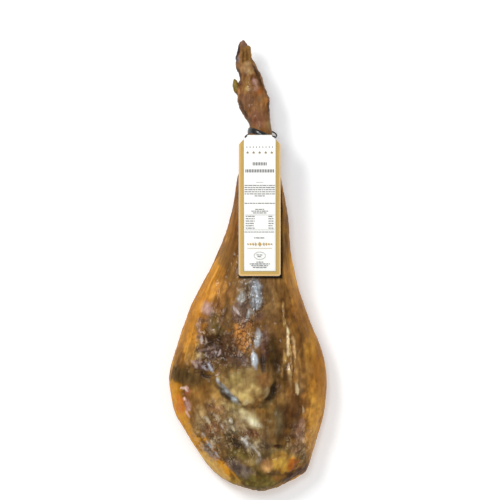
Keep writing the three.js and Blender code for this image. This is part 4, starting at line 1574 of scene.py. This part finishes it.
    def paint_shank(self, surface: Surface, coat: Coat) -> None:
        """Redden the shank towards the ankle, darker on its right side, except just beside the label.

        Args:
            surface: the leg's points.
            coat: the coat so far.
        """
        x, y = surface.p[:, 0], surface.p[:, 1]
        weight = smoothstep(0, 80, y) * smoothstep(self.ankle_y + 20, self.ankle_y - 20, y)
        weight *= 1 - Line(((62, 240), (62, -10)), 6.0).weight(x, y, surface.ragged)
        left = self.blend_colours(surface.along(19, 8.0, 50.0), "6a4019", "9a6428")
        right = self.blend_colours(surface.along(20, 8.0, 50.0), "482c14", "7c5426")
        side = smoothstep(10, 50, x)[:, None]
        coat.cover(left * (1 - side) + right * side, 0.85 * weight)

    def paint_foot(self, surface: Surface, coat: Coat) -> None:
        """Paint the leathery trotter, its claws and its spots.

        Args:
            surface: the leg's points.
            coat: the coat so far.
        """
        x, y = surface.p[:, 0], surface.p[:, 1]
        foot = smoothstep(self.ankle_y - 14, self.ankle_y + 8, y)
        coat.cover(self.blend_colours(surface.grain(21, (6.0, 16.0, 6.0)), "674022", "94683f"), foot)
        coat.moisten(0.25, foot)
        ragged = 0.7 * surface.grain(22, 5.0)
        for stain in self.foot_stains:
            coat.lay(stain, stain.area.weight(x, y, ragged) * stain.strength * foot)
        coat.shade(0.3 * foot * surface.grain(23, (3.0, 9.0, 3.0)))

    def rough_areas(self, surface: Surface) -> tuple[Array, Array]:
        """Work out where the meat is netted with fine folds, and where it is cracked.

        Args:
            surface: the leg's points.

        Returns:
            How rough and how cracked each point is, from 0 to 1.
        """
        netted = np.zeros(len(surface.p))
        cracked = np.zeros(len(surface.p))
        for relief in self.reliefs:
            weight = relief.patch.weight(surface.x, surface.y, surface.ragged)
            netted += weight * relief.net
            cracked += weight * relief.cracks * (relief.net > 0)
        busy = 0.08 * smoothstep(0, -70, surface.p[:, 1]) + 0.7 * netted
        return np.clip(busy, 0.0, 1.0), np.clip(cracked, 0.0, 1.0)

    def card_shadow_weight(self, surface: Surface) -> Array:
        """Work out where the card's shadow is painted: on the points under the label's card or right beside
        it.

        Args:
            surface: the leg's points.

        Returns:
            0 in the open to 1 under the card, and 0 on the steep sides: the weight of the painted shadow.
        """
        left, right, below, above = self.beyond_card(surface.p)
        beyond = np.maximum(np.maximum(right, left + 4.5), below - 0.5)
        flat = smoothstep(0.2, 0.7, surface.n[:, 2])
        return smoothstep(6.5, 2.0, beyond) * flat * smoothstep(7.2, -32.8, above)

    @staticmethod
    def blend_colours(grain: Array, first: str, second: str) -> Array:
        """Mix two colours by a grain.

        Args:
            grain: values from about -1 to 1.
            first: the colour at the low end.
            second: the colour at the high end.

        Returns:
            One linear colour per point.
        """
        share = np.clip(0.5 + 0.6 * grain, 0.0, 1.0)[:, None]
        return np.array(linear(first)) * (1 - share) + np.array(linear(second)) * share

    @staticmethod
    def store(made: bpy.types.Object, name: str, values: Array) -> None:
        """Keep a number or a colour per point on the mesh.

        Args:
            made: the object.
            name: the attribute's name.
            values: one number or one colour per point.
        """
        colours = values.ndim == 2
        layer = made.data.attributes.new(name, "FLOAT_COLOR" if colours else "FLOAT", "POINT")
        if colours:
            values = np.hstack([values, np.ones((len(values), 1))])
        layer.data.foreach_set("color" if colours else "value", values.astype(np.float32).ravel())


# ---- Strap and cord ------------------------------------------------------------------------------


@dataclass
class Loop:
    """A band or cord closed round the ankle, smoothed from its CAD solid."""

    node: str
    name: str
    slot: str
    finish: Finish
    rounding: int = 2

    def build(self) -> bpy.types.Object:
        """Copy the CAD loop, round it off and dress it.

        Returns:
            The finished piece.
        """
        made = merged_copy(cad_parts[self.node], self.name)
        smooth = made.modifiers.new("round", "SUBSURF")
        smooth.levels = smooth.render_levels = self.rounding
        baked(made)
        made.data.shade_smooth()
        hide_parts(self.node)
        return mounted(made, self.finish.make())


# ---- Label ---------------------------------------------------------------------------------------


class Layer(Enum):
    """The layers on the label's card, each with its height above the card in millimetres."""

    RIM = 0.3
    BORDER = 0.12
    PRINT = 0.05


@dataclass(frozen=True)
class TypeRow:
    """A line of small type: how far below the fold, how wide, how tall, and where its middle is."""

    down: float
    wide: float
    tall: float = 1.2
    middle: float = 0.0


def raise_faces(work: bmesh.types.BMesh, faces: Sequence[bmesh.types.BMFace], height: float) -> None:
    """Give flat faces a thickness.

    Args:
        work: the mesh they belong to.
        faces: the faces.
        height: how far their tops rise, in millimetres.
    """
    raised = bmesh.ops.extrude_face_region(work, geom=list(faces))["geom"]
    tops = [item for item in raised if isinstance(item, bmesh.types.BMVert)]
    bmesh.ops.translate(work, vec=(0, 0, height), verts=tops)


@dataclass
class Label:
    """The card with its gold foil border and generic printing."""

    width: float = 75.0
    length: float = 252.6
    corner_drop: float = 17.4
    top_width: float = 44.0
    corner: float = 5.0
    edge: float = 0.4
    rim: float = 3.2
    border: float = 9.0
    line: float = 1.0
    clearance: float = 0.005
    star_pitch: float = 10.8
    star_radii: tuple[float, float] = (3.0, 1.25)
    stars_down: float = 31.9
    flourish_down: float = 195.6
    print_seed: int = 7
    # The rim's foil is lighter than the band's: a painted highlight on the raised lip.
    lit_rim_gold: GoldFoil = GoldFoil("gold_foil_rim_lit", "c8a062", "ae8648")
    gold: GoldFoil = GoldFoil("gold_foil", "ae8c3e", "98762e")
    gold_line: GoldFoil = GoldFoil("gold_foil_line", "8a8062", "6c6448")
    star_gold: GoldFoil = GoldFoil("gold_foil_stars", "8c6a2c", "6e5220")
    ink: PrintInk = PrintInk("grey_ink", "6c6c6e", "424244")
    title_ink: PrintInk = PrintInk("black_ink", "3a3a3c", "1c1c1e")

    # Two paragraphs, an address, six rows of a table in two columns, and the lines of the foot.
    rows: tuple[TypeRow, ...] = (
        *(TypeRow(90.6 + 3.8 * row, 54.0, 1.25) for row in range(5)),
        TypeRow(109.4, 18.0, 1.25),
        TypeRow(122.6, 54.0),
        *(TypeRow(133.4 + 3.2 * row, wide) for row, wide in enumerate((16.0, 30.0, 24.0))),
        *(
            TypeRow(145.9 + 4.2 * row, wide, 1.2, middle)
            for row in range(6)
            for wide, middle in ((16.0, -17.0), (9.0, 20.0))
        ),
        TypeRow(173.9, 54.0, 1.0),
        TypeRow(184.4, 20.0, 1.3),
        *(TypeRow(227.6 + 3.2 * row, wide) for row, wide in enumerate((12.0, 36.0, 30.0, 24.0))),
        TypeRow(214.8, 11.0, 1.1),
        TypeRow(217.8, 8.0, 1.1),
    )

    def __post_init__(self) -> None:
        """Find the card's face and start the draws for the uneven type."""
        self.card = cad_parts["label_card"]
        self.place = self.card_frame()
        self.rng = np.random.default_rng(self.print_seed)

    def build(self) -> None:
        """Dress the CAD card and add its border and printing."""
        self.card.data.materials.clear()
        self.card.data.materials.append(CoatedCard().make())
        log.info("label_card: dressed")
        self.build_border()
        self.build_title()
        self.build_small_print()
        self.build_stars()
        self.build_flourish()

    def card_frame(self) -> Matrix:
        """Find the card's upper face: its origin at the middle of the fold, x across, y up the card.

        Returns:
            The matrix from the card's own frame, in metres, to the row frame.
        """
        mesh = self.card.data
        up = Vector()
        for face in mesh.polygons:
            if face.normal.z > 0.9:
                up += face.normal * face.area
        up.normalize()
        low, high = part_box("label_card")
        along = Vector((0, up.z, -up.y))
        level = max(v.co.dot(up) for v in mesh.vertices)
        origin = Vector(((low.x + high.x) / 2, high.y, (level - high.y * up.y) / up.z))
        turn = Matrix((Vector((1, 0, 0)), along, up)).transposed()
        return Matrix.Translation(origin) @ turn.to_4x4()

    def finish_piece(self, work: bmesh.types.BMesh, name: str, finish: Finish) -> None:
        """Put a layer made in the card's own frame on the card.

        Args:
            work: the layer's mesh, in millimetres.
            name: the piece's name.
            finish: what it is printed or foiled with.
        """
        bmesh.ops.scale(work, vec=(MM, MM, MM), verts=work.verts)
        bmesh.ops.transform(work, matrix=self.place, verts=work.verts)
        bmesh.ops.recalc_face_normals(work, faces=work.faces)
        mounted(made_of(work, name), finish.make())

    def slab(self, work: bmesh.types.BMesh, outline: Sequence[tuple[float, float]], layer: Layer) -> None:
        """Raise a flat outline from the card.

        Args:
            work: the mesh to add to.
            outline: its corners, in order.
            layer: the layer it belongs to.
        """
        corners = [work.verts.new((x, y, self.clearance)) for x, y in outline]
        raise_faces(work, [work.faces.new(corners)], layer.value)

    def edge_path(self, inset: float) -> list[tuple[float, float]]:
        """Follow the card's right, lower and left sides at a distance inside them.

        Args:
            inset: the distance, in millimetres.

        Returns:
            The path's points, from the top right corner to the top left one.
        """
        half = self.width / 2
        slope = self.corner_drop / (half - self.top_width / 2)
        x, low, r = half - inset, inset - self.length, max(self.corner - inset, self.edge)
        turns = (math.radians(90 - 15 * k) for k in range(7))
        arc = [(x - r + r * math.sin(a), low + r - r * math.cos(a)) for a in turns]
        right = [(x, inset * slope - self.corner_drop - 0.3), *arc]
        return [*right, *((-px, py) for px, py in reversed(right))]

    def build_border(self) -> None:
        """Foil three sides of the card: a raised rim in a lighter gold, a painted highlight on its lip, a
        flat band and a thin line.
        """
        band = self.border - self.line
        strips = (
            (self.edge, self.rim, Layer.RIM, "label_gold_rim", self.lit_rim_gold),
            (self.rim, band, Layer.BORDER, "label_gold_border", self.gold),
            (band, self.border, Layer.BORDER, "label_inner_line", self.gold_line),
        )
        for near, far, layer, name, finish in strips:
            work = bmesh.new()
            self.slab(work, [*self.edge_path(near), *reversed(self.edge_path(far))], layer)
            self.finish_piece(work, name, finish)

    def bar(self, work: bmesh.types.BMesh, x: float, down: float, wide: float, tall: float) -> None:
        """Print one plain bar.

        Args:
            work: the mesh to add to.
            x: its middle, across the card.
            down: its middle, below the fold.
            wide: its width.
            tall: its height.
        """
        left, right, low, high = x - wide / 2, x + wide / 2, -down - tall / 2, -down + tall / 2
        self.slab(work, [(left, low), (right, low), (right, high), (left, high)], Layer.PRINT)

    def words(self, work: bmesh.types.BMesh, row: TypeRow) -> None:
        """Print a row of plain bars of uneven length, as a line of small type reads from afar.

        Args:
            work: the mesh to add to.
            row: where it goes and how large it is.
        """
        x = row.middle - row.wide / 2
        end = row.middle + row.wide / 2
        gap = row.tall * 0.9
        while x < end - row.tall:
            length = min(self.rng.uniform(2.2, 8.0) * row.tall / 1.3, end - x)
            self.bar(work, x + length / 2, row.down, length, row.tall)
            x += length + gap

    def blocks(self, work: bmesh.types.BMesh, down: float, wide: float, tall: float, count: int) -> None:
        """Print a row of plain upright blocks in place of a heading's letters.

        Args:
            work: the mesh to add to.
            down: the row's middle, below the fold.
            wide: the row's width.
            tall: the marks' height.
            count: how many there are.
        """
        pitch = wide / count
        for index in range(count):
            self.bar(work, (index + 0.5 - count / 2) * pitch, down, pitch * 0.5, tall)

    def oval(self, work: bmesh.types.BMesh, down: float, across: float, tall: float, line: float) -> None:
        """Print an oval ring in the middle of the card.

        Args:
            work: the mesh to add to.
            down: its middle, below the fold.
            across: half its width.
            tall: half its height.
            line: its line's width.
        """
        steps = 40
        turns = [2 * math.pi * k / steps for k in range(steps)]
        rings = []
        for shrink in (0.0, line):
            half_wide, half_tall = across - shrink, tall - shrink
            places = [(half_wide * math.cos(a), half_tall * math.sin(a) - down) for a in turns]
            rings.append([work.verts.new((x, y, self.clearance)) for x, y in places])
        outer, inner = rings
        quads = zip(outer, outer[1:] + outer[:1], inner[1:] + inner[:1], inner)
        raise_faces(work, [work.faces.new(corners) for corners in quads], Layer.PRINT.value)

    def build_title(self) -> None:
        """Print the two rows of the heading."""
        title = bmesh.new()
        self.blocks(title, 52.0, 26.0, 5.6, 9)
        self.blocks(title, 64.6, 52.0, 5.6, 18)
        self.finish_piece(title, "label_title_print", self.title_ink)

    def build_small_print(self) -> None:
        """Print the row over the stars, the small type, the thin rules and the oval."""
        small = bmesh.new()
        for index in range(9):
            self.bar(small, (index - 4) * 5.7, 22.0, 1.3, 2.4)
        for row in self.rows:
            self.words(small, row)
        for down, wide, tall in ((85.0, 13.0, 0.5), (143.4, 52.0, 0.35), (170.0, 52.0, 0.35)):
            self.bar(small, 0.0, down, wide, tall)
        self.oval(small, 216.2, 10.4, 6.8, 0.55)
        self.finish_piece(small, "label_small_print", self.ink)

    def build_stars(self) -> None:
        """Print the row of five plain stars."""
        stars = bmesh.new()
        for index in range(5):
            outline = []
            for k in range(10):
                radius = self.star_radii[k % 2]
                a = math.pi / 2 + math.pi * k / 5
                x = (index - 2) * self.star_pitch + radius * math.cos(a)
                outline.append((x, radius * math.sin(a) - self.stars_down))
            self.slab(stars, outline, Layer.PRINT)
        self.finish_piece(stars, "label_stars_print", self.star_gold)

    def lozenge(self, work: bmesh.types.BMesh, x: float, across: float, tall: float) -> None:
        """Print one lozenge of the flourish.

        Args:
            work: the mesh to add to.
            x: its middle, across the card.
            across: half its width.
            tall: half its height.
        """
        y = -self.flourish_down
        self.slab(work, [(x - across, y), (x, y + tall), (x + across, y), (x, y - tall)], Layer.PRINT)

    def build_flourish(self) -> None:
        """Print the plain gold flourish: a lozenge, smaller ones on both sides and a rule below."""
        flourish = bmesh.new()
        self.lozenge(flourish, 0.0, 3.6, 4.0)
        for side in (-1, 1):
            for step in range(4):
                self.lozenge(flourish, side * (7.2 + 4.6 * step), 1.9, 3.4 - 0.6 * step)
        self.bar(flourish, 0.0, 203.0, 44.0, 0.6)
        self.finish_piece(flourish, "label_gold_flourish", self.gold)


# ---- Studio --------------------------------------------------------------------------------------


@dataclass(frozen=True)
class SoftBox:
    """A square soft light, in metres and watts, that points at the thigh."""

    name: str
    place: tuple[float, float, float]
    size: float
    power: float
    colour: tuple[float, float, float] = (1.0, 1.0, 1.0)

    def hang(self) -> None:
        """Put the light in the scene."""
        lamp = bpy.data.lights.new(self.name, "AREA")
        lamp.shape = "SQUARE"
        lamp.size = self.size
        lamp.energy = self.power
        lamp.color = self.colour
        made = bpy.data.objects.new(self.name, lamp)
        made.location = self.place
        aim = Vector((0, -0.1, 0.05)) - Vector(self.place)
        made.rotation_euler = aim.to_track_quat("-Z", "Y").to_euler()
        bpy.context.scene.collection.objects.link(made)


@dataclass
class Studio:
    """A pale floor, soft lights and a camera looking straight down."""

    floor_size: float = 12.0
    floor_drop: float = 0.0004
    sky: float = 0.46
    camera_height: float = 6.0
    picture_width: float = 0.9
    sensor: float = 36.0
    aim: tuple[float, float] = (0.0037, 0.027)
    mid_height: float = 0.06
    lights: tuple[SoftBox, ...] = (
        SoftBox("key", (-1.1, 1.0, 2.4), 0.7, 34.0, (1.0, 0.98, 0.95)),
        SoftBox("overhead", (-0.2, 0.3, 2.6), 0.45, 13.0, (0.8, 0.9, 1.0)),
        SoftBox("fill", (1.6, -0.9, 2.0), 1.4, 8.0),
    )

    def build(self) -> None:
        """Set the stage."""
        self.build_floor()
        for light in self.lights:
            light.hang()
        self.build_sky()
        self.build_camera()

    def build_floor(self) -> None:
        """Lay the floor that the ham rests on."""
        work = bmesh.new()
        bmesh.ops.create_grid(work, x_segments=1, y_segments=1, size=self.floor_size)
        floor = made_of(work, "floor")
        floor.location.z = -self.floor_drop
        shader = Shader("floor")
        shader.set(Base_Color=(0.94, 0.94, 0.94), Roughness=0.9, Specular_IOR_Level=0.1)
        shader.set(Emission_Color=(1.0, 1.0, 1.0), Emission_Strength=0.19)
        floor.data.materials.append(shader.material)

    def build_sky(self) -> None:
        """Set the even light from all round."""
        world = bpy.data.worlds.new("studio")
        world.use_nodes = True
        backdrop = world.node_tree.nodes["Background"]
        backdrop.inputs["Color"].default_value = (1, 1, 1, 1)
        backdrop.inputs["Strength"].default_value = self.sky
        bpy.context.scene.world = world
        bpy.context.scene.view_settings.view_transform = "Standard"

    def build_camera(self) -> None:
        """Look straight down on the ham, hoof at the top of the picture."""
        lens = bpy.data.cameras.new("camera")
        lens.sensor_width = self.sensor
        lens.lens = self.sensor * (self.camera_height - self.mid_height) / self.picture_width
        made = bpy.data.objects.new("camera", lens)
        made.location = (*self.aim, self.camera_height)
        bpy.context.scene.collection.objects.link(made)
        bpy.context.scene.camera = made


def main() -> None:
    """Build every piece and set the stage."""
    logging.basicConfig(level=logging.INFO, format="%(name)s %(message)s")
    Studio().build()
    Ham().build()
    Loop("hanging_strap", "ankle_strap", "strap_plastic", GlossPlastic()).build()
    Loop("label_cord", "ankle_cord", "cord_fibre", TwistedFibre()).build()
    Label().build()


if __name__ == "__main__":
    main()
